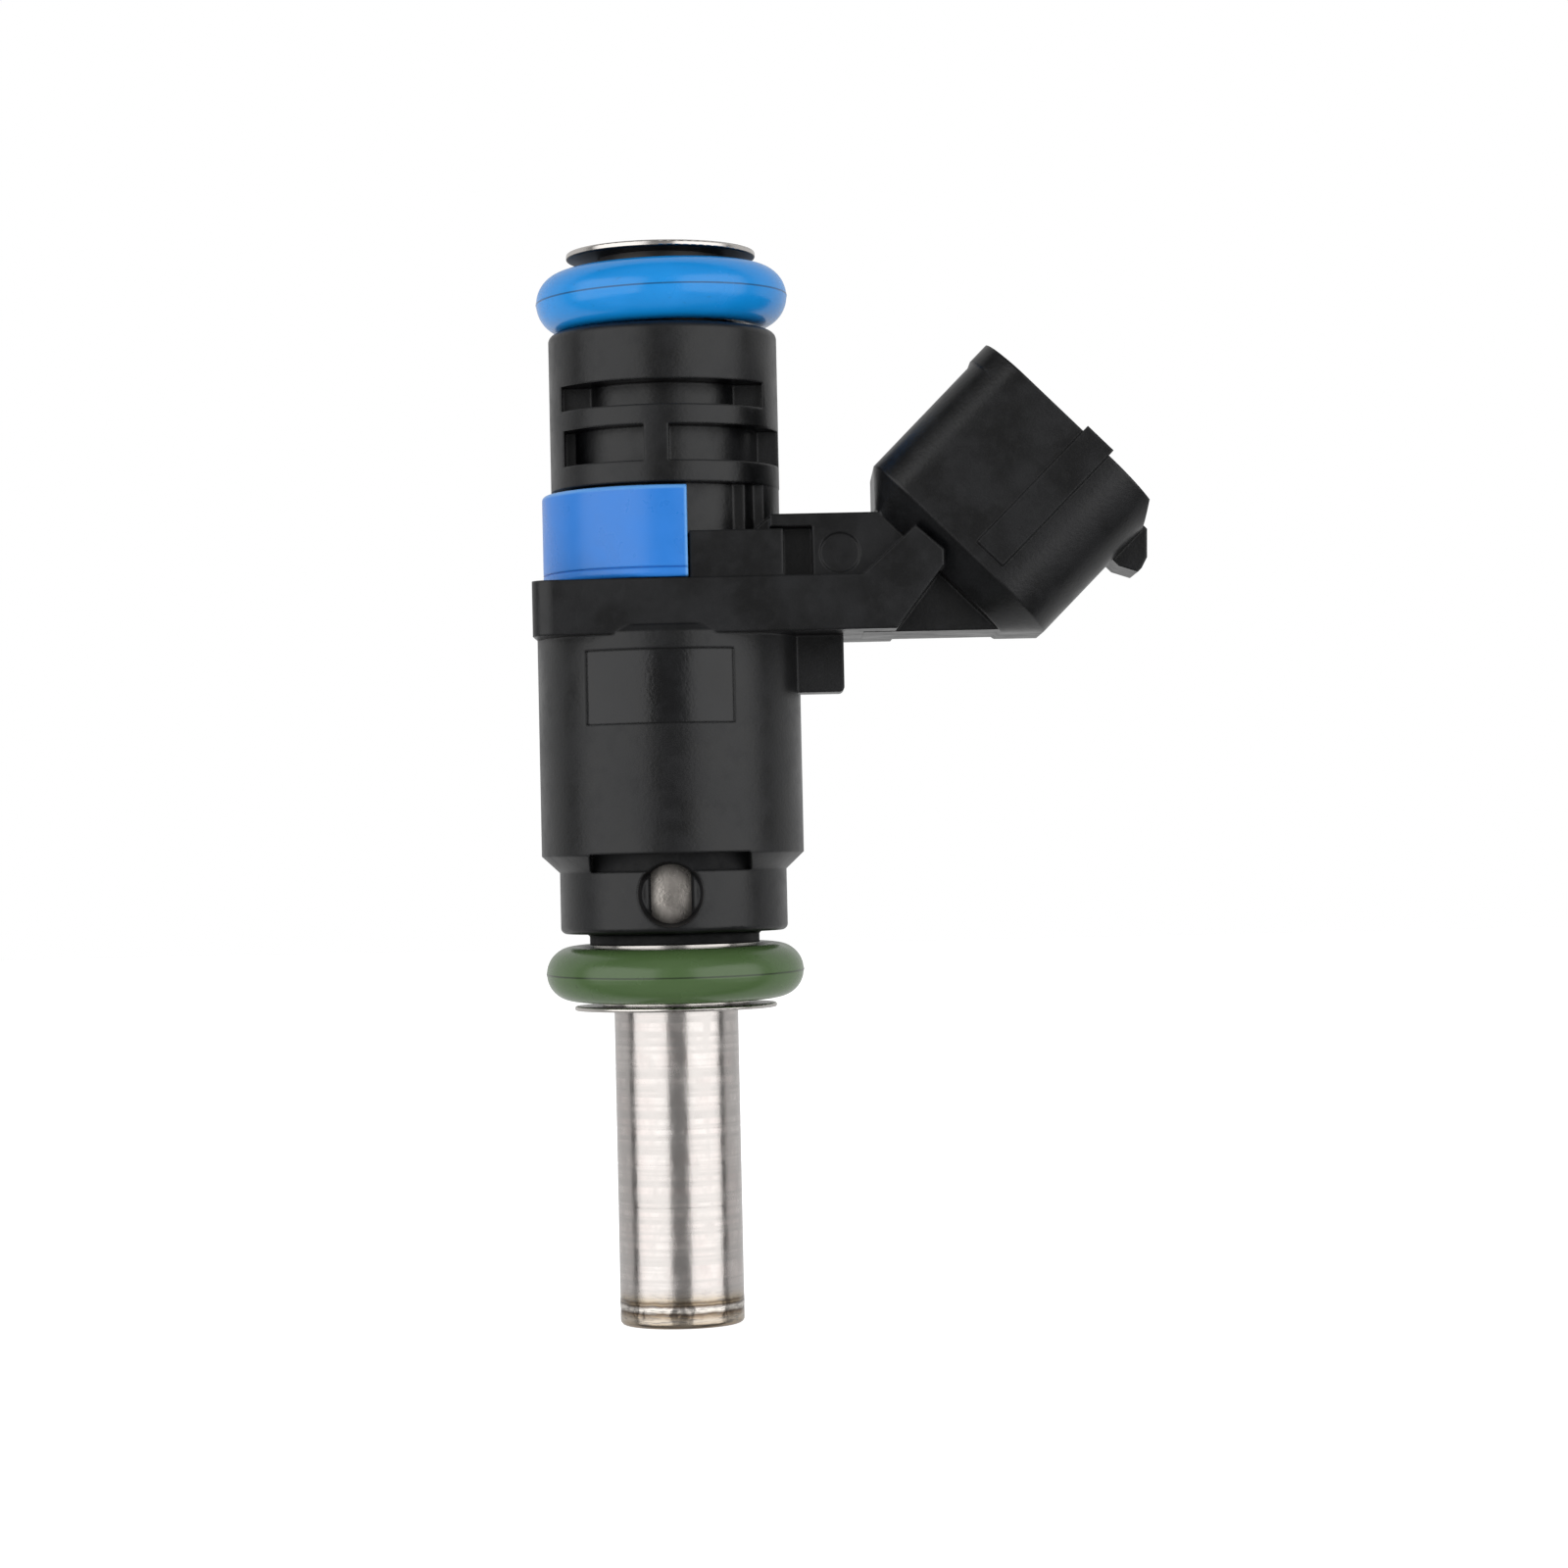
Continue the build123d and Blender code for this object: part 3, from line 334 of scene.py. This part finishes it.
def machined_metal(name, colour, roughness, marks=MARK_SIZE, cut=MARK_DEPTH, shaded_below=None):
    """Metal turned or ground around Z: circular tool marks, and patches where it is duller.
    Below the height that the last argument gives, the steel darkens with painted shade, for the
    dark reflection under a flange, and it is dull."""
    s = Shader(name)
    patches = s.noise(PATCH_SIZE, PATCH_DETAIL, PATCH_STRETCH)
    tone = s.vary(patches, colour, PATCH_SHADES)
    gloss = s.span(patches, PATCH_FADE, scaled(roughness, PATCH_GLOSS))
    if shaded_below is not None:
        # Painted shade: below the given height the steel is darkened, for the dark reflection under
        # a flange.
        below = s.math("LESS_THAN", s.axis(Z), shaded_below)
        tone = s.mix(below, tone, shade(colour, SHADED_BELOW_SHADE))
        gloss = s.math("MAXIMUM", gloss, s.math("MULTIPLY", below, SHADED_BELOW_ROUGHNESS))
    normal = s.bump(s.noise(marks, PATCH_DETAIL, TURNED_ONLY), cut)
    return s.finish(Base_Color=tone, Roughness=gloss, Normal=normal, Metallic=1.0)


DRAWN_GRAIN_SIZE = 0.16 * MM
DRAWN_PATCH_SIZE = 0.9 * MM
DRAWN_DETAIL = 4.0
DRAWN_SHADES = (0.72, 1.15)
DRAWN_PATCH_FADE = (0.4, 0.7)
DRAWN_PATCH_SHARE = 0.5
DRAWN_PATCH_SHADE = 0.6
DRAWN_DEPTH = 0.012 * MM
DRAWN_GLOSS = (-0.06, 0.10)
BRIGHT_SPOT_FLATTENING = 0.62
BRIGHT_CORE = 0.4
SHADOW_AND_GRIME_SHADE = 0.10


def drawn_steel(name, colour, roughness, window=None):
    """Deep-drawn or sintered steel: dull, grainy and blotched. Around a window, given as its height
    and the radius of a bright spot, the steel darkens with painted shade and grime."""
    s = Shader(name)
    grain = s.noise(DRAWN_GRAIN_SIZE, DRAWN_DETAIL)
    patches = s.noise(DRAWN_PATCH_SIZE, DRAWN_DETAIL)
    tone = s.vary(grain, colour, DRAWN_SHADES)
    blotches = s.span(patches, DRAWN_PATCH_FADE, (0.0, DRAWN_PATCH_SHARE))
    tone = s.mix(blotches, tone, shade(colour, DRAWN_PATCH_SHADE))
    if window:
        height, bright_radius = window
        # Painted shade and grime: the steel darkens outside an oval bright spot around the window.
        rise = s.math("MULTIPLY", s.math("SUBTRACT", s.axis(Z), height), BRIGHT_SPOT_FLATTENING)
        spread = s.add("ShaderNodeCombineXYZ", {X: s.axis(X), Y: rise}).outputs[0]
        off = s.vector("LENGTH", "Value", spread)
        tone = s.mix(s.span(off, (BRIGHT_CORE * bright_radius, bright_radius)), tone, shade(colour, SHADOW_AND_GRIME_SHADE))
    normal = s.bump(grain, DRAWN_DEPTH)
    gloss = s.span(patches, WIDE_FADE, around(roughness, DRAWN_GLOSS))
    return s.finish(Base_Color=tone, Roughness=gloss, Normal=normal, Metallic=1.0)


WIRE_PITCH = 0.12 * MM
WIRE_CLOUD_SIZE = 1.2 * MM
WIRE_CLOUD_DETAIL = 3.0
WIRE_STRETCH = (3, 3, 1)
WIRE_SHADES = (0.75, 1.2)
WIRE_DEPTH = 0.012 * MM


def enamelled_wire(name, colour):
    """Close-wound magnet wire: its turns are far finer than the ribs of the winding's outline."""
    s = Shader(name)
    turns = s.math("SINE", s.math("MULTIPLY", s.axis(Z), 2 * math.pi / WIRE_PITCH))
    clouds = s.noise(WIRE_CLOUD_SIZE, WIRE_CLOUD_DETAIL, WIRE_STRETCH)
    return s.finish(
        Base_Color=s.vary(clouds, colour, WIRE_SHADES),
        Roughness=0.28,
        Normal=s.bump(turns, WIRE_DEPTH),
        Metallic=0.75,
        Coat_Weight=0.6,
    )


THREAD_PITCH = 0.20 * MM
THREADS_AROUND = 64.0
THREAD_FADE = (-0.2, 0.6)
THREAD_GAP_SHADE = 0.35
THREAD_DEPTH = 0.03 * MM


def woven_screen(name, colour):
    """Fine nylon filter cloth: threads up and down crossed by threads around."""
    s = Shader(name)
    turn = s.math("ARCTAN2", s.axis(Y), s.axis(X))
    across = s.math("SINE", s.math("MULTIPLY", turn, THREADS_AROUND))
    along = s.math("SINE", s.math("MULTIPLY", s.axis(Z), 2 * math.pi / THREAD_PITCH))
    weave = s.math("MULTIPLY", across, along)
    tone = s.mix(s.span(weave, THREAD_FADE), shade(colour, THREAD_GAP_SHADE), colour)
    return s.finish(Base_Color=tone, Roughness=0.6, Normal=s.bump(weave, THREAD_DEPTH))


# ------------------------------------------------------------------ mesh helpers


def link(name, data):
    made = bpy.data.objects.new(name, data)
    bpy.context.scene.collection.objects.link(made)
    return made


def lathe(name, outline, steps, radius_at=None):
    """Turn a closed outline of (radius, height) points about Z; radius_at may move each point."""
    mesh = bmesh.new()
    rings = []
    for step in range(steps):
        angle = 2 * math.pi * step / steps
        ring = []
        for radius, height in outline:
            r = radius_at(radius, height, angle) if radius_at else radius
            ring.append(mesh.verts.new((r * math.cos(angle), r * math.sin(angle), height)))
        rings.append(ring)
    count = len(outline)
    for step in range(steps):
        here, after = rings[step], rings[(step + 1) % steps]
        for i in range(count):
            j = (i + 1) % count
            mesh.faces.new((here[i], after[i], after[j], here[j]))
    bmesh.ops.recalc_face_normals(mesh, faces=mesh.faces)
    data = bpy.data.meshes.new(name)
    mesh.to_mesh(data)
    mesh.free()
    data.shade_smooth()
    return link(name, data)


def sharpen(made, angle):
    """Keep edges steeper than angle hard, so that flat faces stay flat."""
    mesh = bmesh.new()
    mesh.from_mesh(made.data)
    for edge in mesh.edges:
        edge.smooth = len(edge.link_faces) != 2 or edge.calc_face_angle() < angle
    mesh.to_mesh(made.data)
    mesh.free()


def stand_for(made, node, material):
    """Show made in place of a CAD node, on the same body."""
    made.data.materials.append(material)
    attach(made, BODY)
    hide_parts(node)


def paint(node, material):
    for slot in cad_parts[node].material_slots:
        slot.material = material


# -------------------------------------------------------------------- seal rings

RING_STEPS = 240
SECTION_STEPS = 64
FLASH_PROUD = 0.03 * MM
FLASH_HALF = math.radians(2.5)


def seal_ring(node, colour, roughness, tilt, axis, drop=0.0):
    """An O-ring with the thin flash of its mould around it, seated low by drop and tilted."""
    low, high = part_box(node)
    section = (high.z - low.z) / 2
    middle_r = high.x - section
    outline = []
    for step in range(SECTION_STEPS):
        angle = 2 * math.pi * step / SECTION_STEPS
        off = min(angle, 2 * math.pi - angle) / FLASH_HALF
        r = section - FLASH_PROUD + FLASH_PROUD * math.exp(-off * off)
        outline.append((middle_r + r * math.cos(angle), r * math.sin(angle)))
    made = lathe(node + "_moulded", outline, RING_STEPS)
    centre = Vector((0, 0, (low.z + high.z) / 2 - drop))
    turn = Matrix.Rotation(tilt, 4, axis)
    made.data.transform(Matrix.Translation(centre) @ turn)
    seam_up = turn @ Vector((0, 0, 1))
    stand_for(made, node, moulded_rubber(node, colour, centre, seam_up, roughness))


# ---------------------------------------------------------------------- tip tube

TIP_STEEL = (0.575, 0.545, 0.525)
FILM = (0.56, 0.47, 0.45)
TINT_TOP = 2.4 * MM
TINT = (
    (0.00, (0.34, 0.26, 0.19)),
    (0.10, (0.42, 0.35, 0.27)),
    (0.19, (0.50, 0.44, 0.37)),
    (0.28, (0.33, 0.26, 0.19)),
    (0.35, (0.11, 0.075, 0.05)),
    (0.41, (0.62, 0.58, 0.53)),
    (0.47, (0.66, 0.62, 0.58)),
    (0.53, (0.09, 0.06, 0.04)),
    (0.57, (0.30, 0.24, 0.17)),
    (0.61, (0.13, 0.09, 0.055)),
    (0.67, (0.43, 0.36, 0.27)),
    (1.00, TIP_STEEL),
)
TINT_FADE = (0.55 * TINT_TOP, TINT_TOP)
TINT_WANDER_SIZE = 0.9 * MM
TINT_WANDER = 0.22 * MM
TINT_ROUGHNESS = 0.26
TINT_ROUGHNESS_FADE = (0.5 * TINT_TOP, 0.9 * TINT_TOP)
BURNT_SIZE = 0.12 * MM
BURNT_STRETCH = (7, 7, 1)
BURNT_FADE = (0.48, 0.66)
BURNT_SHARE = 0.55
BURNT_SHADE = 0.30
TIP_PATCH_SIZE = 0.8 * MM
TIP_PATCH_STRETCH = (1, 1, 1.6)
TIP_PATCH_DETAIL = 7.0
TIP_PATCH_SHADES = (0.84, 1.12)
TIP_ROUGHNESS = (0.18, 0.28)
FILM_SIZE = 1.6 * MM
FILM_STRETCH = (1, 1, 3)
FILM_DETAIL = 3.0
FILM_SHARE = 0.30
TIP_DETAIL = 4.0
WIDE_MARK_SIZE = 0.45 * MM
WIDE_MARK_FADE = (0.40, 0.62)
WIDE_MARK_SHADE = 0.86
WIDE_MARK_DEPTH = 0.006 * MM
FINE_MARK_SIZE = 0.10 * MM
FINE_MARK_STRETCH = (160, 160, 1)
FINE_MARK_DEPTH = 0.0045 * MM
FINE_MARK_HEIGHTS = (5.0 * MM, 7.0 * MM)
FINE_MARK_STRENGTH = (1.0, 0.35)
DENT_SIZE = 0.35 * MM
DENT_STRETCH = (0.6, 0.6, 3.0)
DENT_DEPTH = 0.004 * MM


def tip_steel(name, colour):
    """Turned stainless tip: fine rings, deeper near the end, and bands of heat tint at the weld."""
    s = Shader(name)
    height = s.axis(Z)
    patches = s.noise(TIP_PATCH_SIZE, TIP_PATCH_DETAIL, TIP_PATCH_STRETCH)
    wide_marks = s.noise(WIDE_MARK_SIZE, TIP_DETAIL, TURNED_ONLY)
    fine_marks = s.noise(FINE_MARK_SIZE, TIP_DETAIL, FINE_MARK_STRETCH)
    tone = s.vary(s.span(patches, WIDE_FADE), colour, TIP_PATCH_SHADES)
    films = s.span(s.noise(FILM_SIZE, FILM_DETAIL, FILM_STRETCH), SOFT_FADE, (0.0, FILM_SHARE))
    tone = s.mix(films, tone, FILM)
    tone = s.mix(s.span(wide_marks, WIDE_MARK_FADE), tone, shade(colour, WIDE_MARK_SHADE))

    wander = s.math("MULTIPLY", s.noise(TINT_WANDER_SIZE, TIP_DETAIL), TINT_WANDER)
    ragged = s.math("ADD", height, s.math("SUBTRACT", wander, TINT_WANDER / 2))
    tint = s.ramp(s.math("DIVIDE", ragged, TINT_TOP), TINT)
    burnt = s.noise(BURNT_SIZE, FILM_DETAIL, BURNT_STRETCH)
    burnt = s.span(burnt, BURNT_FADE, (0.0, BURNT_SHARE))
    tint = s.mix(burnt, tint, shade(colour, BURNT_SHADE))
    tone = s.mix(s.span(ragged, TINT_FADE, (1.0, 0.0)), tone, tint)

    gloss = s.span(patches, WIDE_FADE, TIP_ROUGHNESS)
    dull = s.span(ragged, TINT_ROUGHNESS_FADE, (TINT_ROUGHNESS, 0.0))
    gloss = s.math("MAXIMUM", gloss, dull)
    strength = s.span(height, FINE_MARK_HEIGHTS, FINE_MARK_STRENGTH)
    normal = s.bump(s.math("MULTIPLY", fine_marks, strength), FINE_MARK_DEPTH)
    normal = s.bump(wide_marks, WIDE_MARK_DEPTH, normal)
    normal = s.bump(s.noise(DENT_SIZE, TIP_DETAIL, DENT_STRETCH), DENT_DEPTH, normal)
    return s.finish(Base_Color=tone, Roughness=gloss, Normal=normal, Metallic=1.0)


TIP_STEPS = 256
TIP_WALL = 0.55 * MM
TIP_NECK_STEP = 0.20 * MM
TIP_ROUND = 0.28 * MM
TIP_ROUND_STEPS = 6
TIP_HARD_EDGE = math.radians(40)
WELD = (0.45 * MM, 1.45 * MM)
WELD_PROUD = 0.03 * MM
WELD_PITCH = 0.05 * MM
WELD_RINGS = 32
WELD_LUMPS_AROUND = 9
WELD_LUMPS_PER_MM = 2
WELD_FINE_LUMPS = 3
WELD_FINE_SHARE = 0.5
PLAIN_PITCH = 0.8 * MM
GROOVES = (6.7 * MM, 9.1 * MM, 11.1 * MM, 12.4 * MM, 14.6 * MM)
GROOVE_HALF = 0.06 * MM
GROOVE_DEPTH = 0.010 * MM
GROOVE_OFFSETS = (-2.0, -1.0, -0.5, 0.0, 0.5, 1.0, 2.0)


def tip_outline(radius, shoulder, top):
    """Half section of the tip: a rounded end, and close rings at the weld and at the grooves."""
    bore = radius - TIP_WALL
    outline = [(bore, 0.0)]
    for step in range(TIP_ROUND_STEPS + 1):
        angle = math.radians(90 * step / TIP_ROUND_STEPS)
        corner_r = radius - TIP_ROUND + TIP_ROUND * math.sin(angle)
        outline.append((corner_r, TIP_ROUND * (1 - math.cos(angle))))
    heights = [TIP_ROUND + WELD_PITCH * step for step in range(1, WELD_RINGS)]
    weld_end = heights[-1]
    for step in range(int((shoulder - weld_end) / PLAIN_PITCH)):
        heights.append(weld_end + PLAIN_PITCH * (step + 0.5))
    for groove in GROOVES:
        heights += [groove + GROOVE_HALF * offset for offset in GROOVE_OFFSETS]
    outline += [(radius, height) for height in sorted(heights)]
    outline += [
        (radius, shoulder),
        (radius - TIP_NECK_STEP, shoulder),
        (radius - TIP_NECK_STEP, top),
        (bore, top),
    ]
    return outline


def tip_tube():
    """The turned tip, with tool grooves and the uneven bead of the laser weld near its end."""
    low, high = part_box("tip_tube")
    radius = high.x
    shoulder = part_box("seal_retainer")[0].z

    def radius_at(r, z, angle):
        if r < radius - TIP_NECK_STEP / 2:
            return r
        for groove in GROOVES:
            off = (z - groove) / GROOVE_HALF
            r -= GROOVE_DEPTH * math.exp(-off * off)
        middle = (WELD[0] + WELD[1]) / 2
        off = (z - middle) / (WELD[1] - WELD[0]) * 2
        place = Vector((
            math.cos(angle) * WELD_LUMPS_AROUND,
            math.sin(angle) * WELD_LUMPS_AROUND,
            z / MM * WELD_LUMPS_PER_MM,
        ))
        bead = noise.noise(place) + WELD_FINE_SHARE * noise.noise(place * WELD_FINE_LUMPS)
        return r + WELD_PROUD * bead * math.exp(-off * off)

    made = lathe("tip_tube_turned", tip_outline(radius, shoulder, high.z), TIP_STEPS, radius_at)
    sharpen(made, TIP_HARD_EDGE)
    stand_for(made, "tip_tube", tip_steel("tip_steel", TIP_STEEL))


# ----------------------------------------------------------------- return spring

SPRING_STEEL = (0.45, 0.44, 0.43)
SPRING_ROUGHNESS = 0.25


def wound_spring():
    """The return spring, shown as a copy of its CAD mesh fixed to the body; the real spring
    shortens towards its fixed upper end as the needle lifts, which this copy does not.
    """
    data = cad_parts["return_spring"].data.copy()
    data.materials.clear()
    made = link("return_spring_wound", data)
    material = drawn_steel("spring_wire", SPRING_STEEL, SPRING_ROUGHNESS)
    stand_for(made, "return_spring", material)
    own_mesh(made)


# ---------------------------------------------------------- materials on the part

RING_BLUE = (0.006, 0.295, 0.81)
RING_BLUE_ROUGHNESS = 0.22
RING_GREEN = (0.077, 0.140, 0.048)
RING_GREEN_ROUGHNESS = 0.24
RING_TILT = math.radians(1.4)
UPPER_RING_DROP = 0.09 * MM

seal_ring("upper_seal_ring", RING_BLUE, RING_BLUE_ROUGHNESS, -RING_TILT, "Y", UPPER_RING_DROP)
seal_ring("lower_seal_ring", RING_GREEN, RING_GREEN_ROUGHNESS, RING_TILT, "X")
tip_tube()
wound_spring()

BLACK = (0.0038, 0.0040, 0.0047)
POLISHED = 0.65
MATT = 2.0
FAR = 1.0
MARKING_FIELD = ((X, -4.45 * MM, 3.75 * MM), (Z, 33.7 * MM, 37.8 * MM), (Y, -FAR, 0.0))
LEDGE = ((X, -4.43 * MM, 4.43 * MM), (Z, 25.55 * MM, 26.55 * MM))
NECK = ((Z, 21.0 * MM, 22.0 * MM),)
BODY_FIELDS = ((MARKING_FIELD, POLISHED), (LEDGE, MATT), (NECK, MATT))

CLIP_BLUE = (0.020, 0.22, 0.74)
# Paler blue of the painted highlight on the clip's rim and ends.
CLIP_HIGHLIGHT_BLUE = (0.12, 0.38, 0.85)

STEEL = (0.62, 0.59, 0.56)
TIN = (0.62, 0.60, 0.56)
ENAMEL = (0.50, 0.16, 0.055)
CLOTH = (0.62, 0.60, 0.52)
INLET_ROUGHNESS = 0.22
FLANGE_SHADE = 0.28 * MM
# The magnet window keeps a bright spot of this radius inside painted shade and grime.
WINDOW_HEIGHT = 24.3 * MM
WINDOW_BRIGHT_RADIUS = 1.15 * MM

# For each node, the name of its material, its colour and its roughness.
PLASTICS = {
    "overmold_housing": ("glass_filled_nylon", BLACK, 0.33, BODY_FIELDS),
    "coil_bobbin": ("bobbin_nylon", (0.42, 0.38, 0.30), 0.45),
    "filter_cage": ("cage_nylon", (0.30, 0.29, 0.26), 0.45),
}
DRAWN_METALS = {
    "magnet_housing": (
        "magnet_steel", (0.50, 0.465, 0.43), 0.27, (WINDOW_HEIGHT, WINDOW_BRIGHT_RADIUS)
    ),
    "magnet_cover": ("cover_steel", (0.38, 0.36, 0.33), 0.40),
    "needle_guide": ("guide_steel", (0.50, 0.47, 0.43), 0.30),
    "terminal_pin_left": ("terminal_pin_left_tin", TIN, 0.24),
    "terminal_pin_right": ("terminal_pin_right_tin", TIN, 0.24),
}
# Where the tool marks are finer or wider than usual, their size and then their depth follow.
TURNED_METALS = {
    "seal_retainer": ("retainer_steel", STEEL, 0.28),
    "valve_body": ("body_steel", STEEL, 0.25),
    "orifice_plate": ("plate_steel", STEEL, 0.18, 0.10 * MM),
    "valve_seat": ("seat_steel", (0.58, 0.57, 0.55), 0.16, 0.12 * MM),
    "valve_ball": ("ball_steel", (0.72, 0.72, 0.73), 0.07, 0.6 * MM, 0.0005 * MM),
    "needle_tube": ("needle_steel", (0.62, 0.61, 0.59), 0.22),
    "armature": ("armature_chrome", (0.60, 0.60, 0.62), 0.16, 0.25 * MM),
    "spacer_ring": ("spacer_steel", (0.60, 0.58, 0.55), 0.26),
    "pole_piece": ("pole_steel", (0.52, 0.50, 0.47), 0.24),
    "setting_sleeve": ("sleeve_brass", (0.72, 0.53, 0.24), 0.26),
    "filter_collar": ("collar_brass", (0.70, 0.52, 0.25), 0.24),
}
for recipe, looks in (
    (moulded_plastic, PLASTICS),
    (drawn_steel, DRAWN_METALS),
    (machined_metal, TURNED_METALS),
):
    for node, look in looks.items():
        paint(node, recipe(*look))

clip_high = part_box("locating_clip")[1]
clip_paint = clip_plastic("blue_clip", CLIP_BLUE, CLIP_HIGHLIGHT_BLUE, clip_high.z, clip_high.x)
paint("locating_clip", clip_paint)
flange_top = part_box("inlet_tube")[1].z
# Just under the flange, the inlet steel gets painted shade.
inlet_paint = machined_metal(
    "inlet_steel", STEEL, INLET_ROUGHNESS, shaded_below=flange_top - FLANGE_SHADE
)
paint("inlet_tube", inlet_paint)
paint("coil_winding", enamelled_wire("magnet_wire", ENAMEL))
paint("filter_screen", woven_screen("filter_cloth", CLOTH))


# ------------------------------------------------------------------------ studio

AXIS_CENTRE = Vector((0, 0, 30 * MM))
WHITE = (1.0, 1.0, 1.0)
FLOOR_WHITE = (0.80, 0.80, 0.80)
FLOOR_ROUGHNESS = 0.9
FLOOR_HALF = 900 * MM
FLOOR_SEEN = 0.78
FLOOR_GLOW = 0.18
# Brightness of the room along Y, which runs from -1, straight behind the camera, to 1.
ROOM = ((-1.0, 0.31), (-0.30, 0.31), (-0.08, 0.09), (0.06, 0.09), (0.22, 0.70))
LAMP_DISTANCE = 600 * MM
LAMP_HEIGHT = 700 * MM
LAMP_RISE = math.radians(8.0)
LAMP_GLOW = 1.2
LAMP_WATTS = 4.0 * LAMP_GLOW


def softbox(name, azimuth, width):
    """A large area light that faces the part, at azimuth degrees to the right of the camera."""
    lamp = bpy.data.lights.new(name, "AREA")
    lamp.shape = "RECTANGLE"
    lamp.size = width
    lamp.size_y = LAMP_HEIGHT
    lamp.energy = LAMP_WATTS * width * LAMP_HEIGHT
    turn = math.radians(azimuth)
    level = math.cos(LAMP_RISE)
    towards = Vector((math.sin(turn) * level, -math.cos(turn) * level, math.sin(LAMP_RISE)))
    made = link(name, lamp)
    made.location = AXIS_CENTRE + towards * LAMP_DISTANCE
    made.rotation_mode = "QUATERNION"
    made.rotation_quaternion = towards.to_track_quat("Z", "Y")
    made.visible_camera = False


def studio_world():
    """White for the camera; as light, dim in front, dark at the sides and grey behind."""
    world = bpy.data.worlds.new("studio")
    bpy.context.scene.world = world
    world.use_nodes = True
    tree = world.node_tree
    direction = add_node(tree, "ShaderNodeTexCoord").outputs["Generated"]
    depth = add_node(tree, "ShaderNodeSeparateXYZ", {0: direction}).outputs["Y"]
    place = add_node(tree, "ShaderNodeMapRange", {"Value": depth, "From Min": -1.0}).outputs[0]
    room = add_node(tree, "ShaderNodeValToRGB", {"Fac": place})
    set_stops(room, [((y + 1) / 2, (glow, glow, glow)) for y, glow in ROOM])
    rays = add_node(tree, "ShaderNodeLightPath").outputs["Is Camera Ray"]
    inputs = {MIX_FACTOR: rays, MIX_VALUE_A: room.outputs["Color"], MIX_VALUE_B: 1.0}
    shown = add_node(tree, "ShaderNodeMix", inputs).outputs[MIX_VALUE]
    backdrop = tree.nodes["Background"]
    backdrop.inputs["Color"].default_value = opaque(WHITE)
    tree.links.new(shown, backdrop.inputs["Strength"])


def studio_floor():
    """A wide white table, lit for the camera so that it looks as pale as the backdrop."""
    mesh = bmesh.new()
    bmesh.ops.create_grid(mesh, x_segments=2, y_segments=2, size=FLOOR_HALF)
    data = bpy.data.meshes.new("studio_floor")
    mesh.to_mesh(data)
    mesh.free()
    floor = link("studio_floor", data)
    floor.location.z = cad_box[0].z
    s = Shader("studio_floor")
    rays = s.add("ShaderNodeLightPath").outputs["Is Camera Ray"]
    data.materials.append(
        s.finish(
            Base_Color=FLOOR_WHITE,
            Roughness=FLOOR_ROUGHNESS,
            Emission_Color=WHITE,
            Emission_Strength=s.span(rays, (0.0, 1.0), (FLOOR_GLOW, FLOOR_SEEN)),
        )
    )
    floor.visible_glossy = False


softbox("softbox_left", azimuth=-50.5, width=830 * MM)
softbox("softbox_right", azimuth=52.0, width=780 * MM)
studio_world()
studio_floor()

# ------------------------------------------------------------------------ camera

CAMERA_AT = Vector((6.29, -222.2, 26.45)) * MM
CAMERA_ROLL = math.radians(1.244)
CAMERA_PITCH = math.radians(1.0)
LENS = 90.0
SENSOR = 36.0
CLIP_NEAR = 10 * MM
CLIP_FAR = 10.0


def camera():
    """The portrait of the part, rolled a little so that the part leans to the left in it."""
    right = Vector((math.cos(CAMERA_ROLL), 0, -math.sin(CAMERA_ROLL)))
    level_up = Vector((math.sin(CAMERA_ROLL), 0, math.cos(CAMERA_ROLL)))
    ahead = Vector((0, 1, 0)) * math.cos(CAMERA_PITCH) + level_up * math.sin(CAMERA_PITCH)
    up = right.cross(ahead)
    data = bpy.data.cameras.new("portrait")
    data.lens = LENS
    data.sensor_width = SENSOR
    data.clip_start = CLIP_NEAR
    data.clip_end = CLIP_FAR
    made = link("portrait", data)
    turn = Matrix((right, up, -ahead)).transposed().to_4x4()
    made.matrix_world = Matrix.Translation(CAMERA_AT) @ turn
    bpy.context.scene.camera = made


camera()
bpy.context.scene.view_settings.view_transform = "Standard"
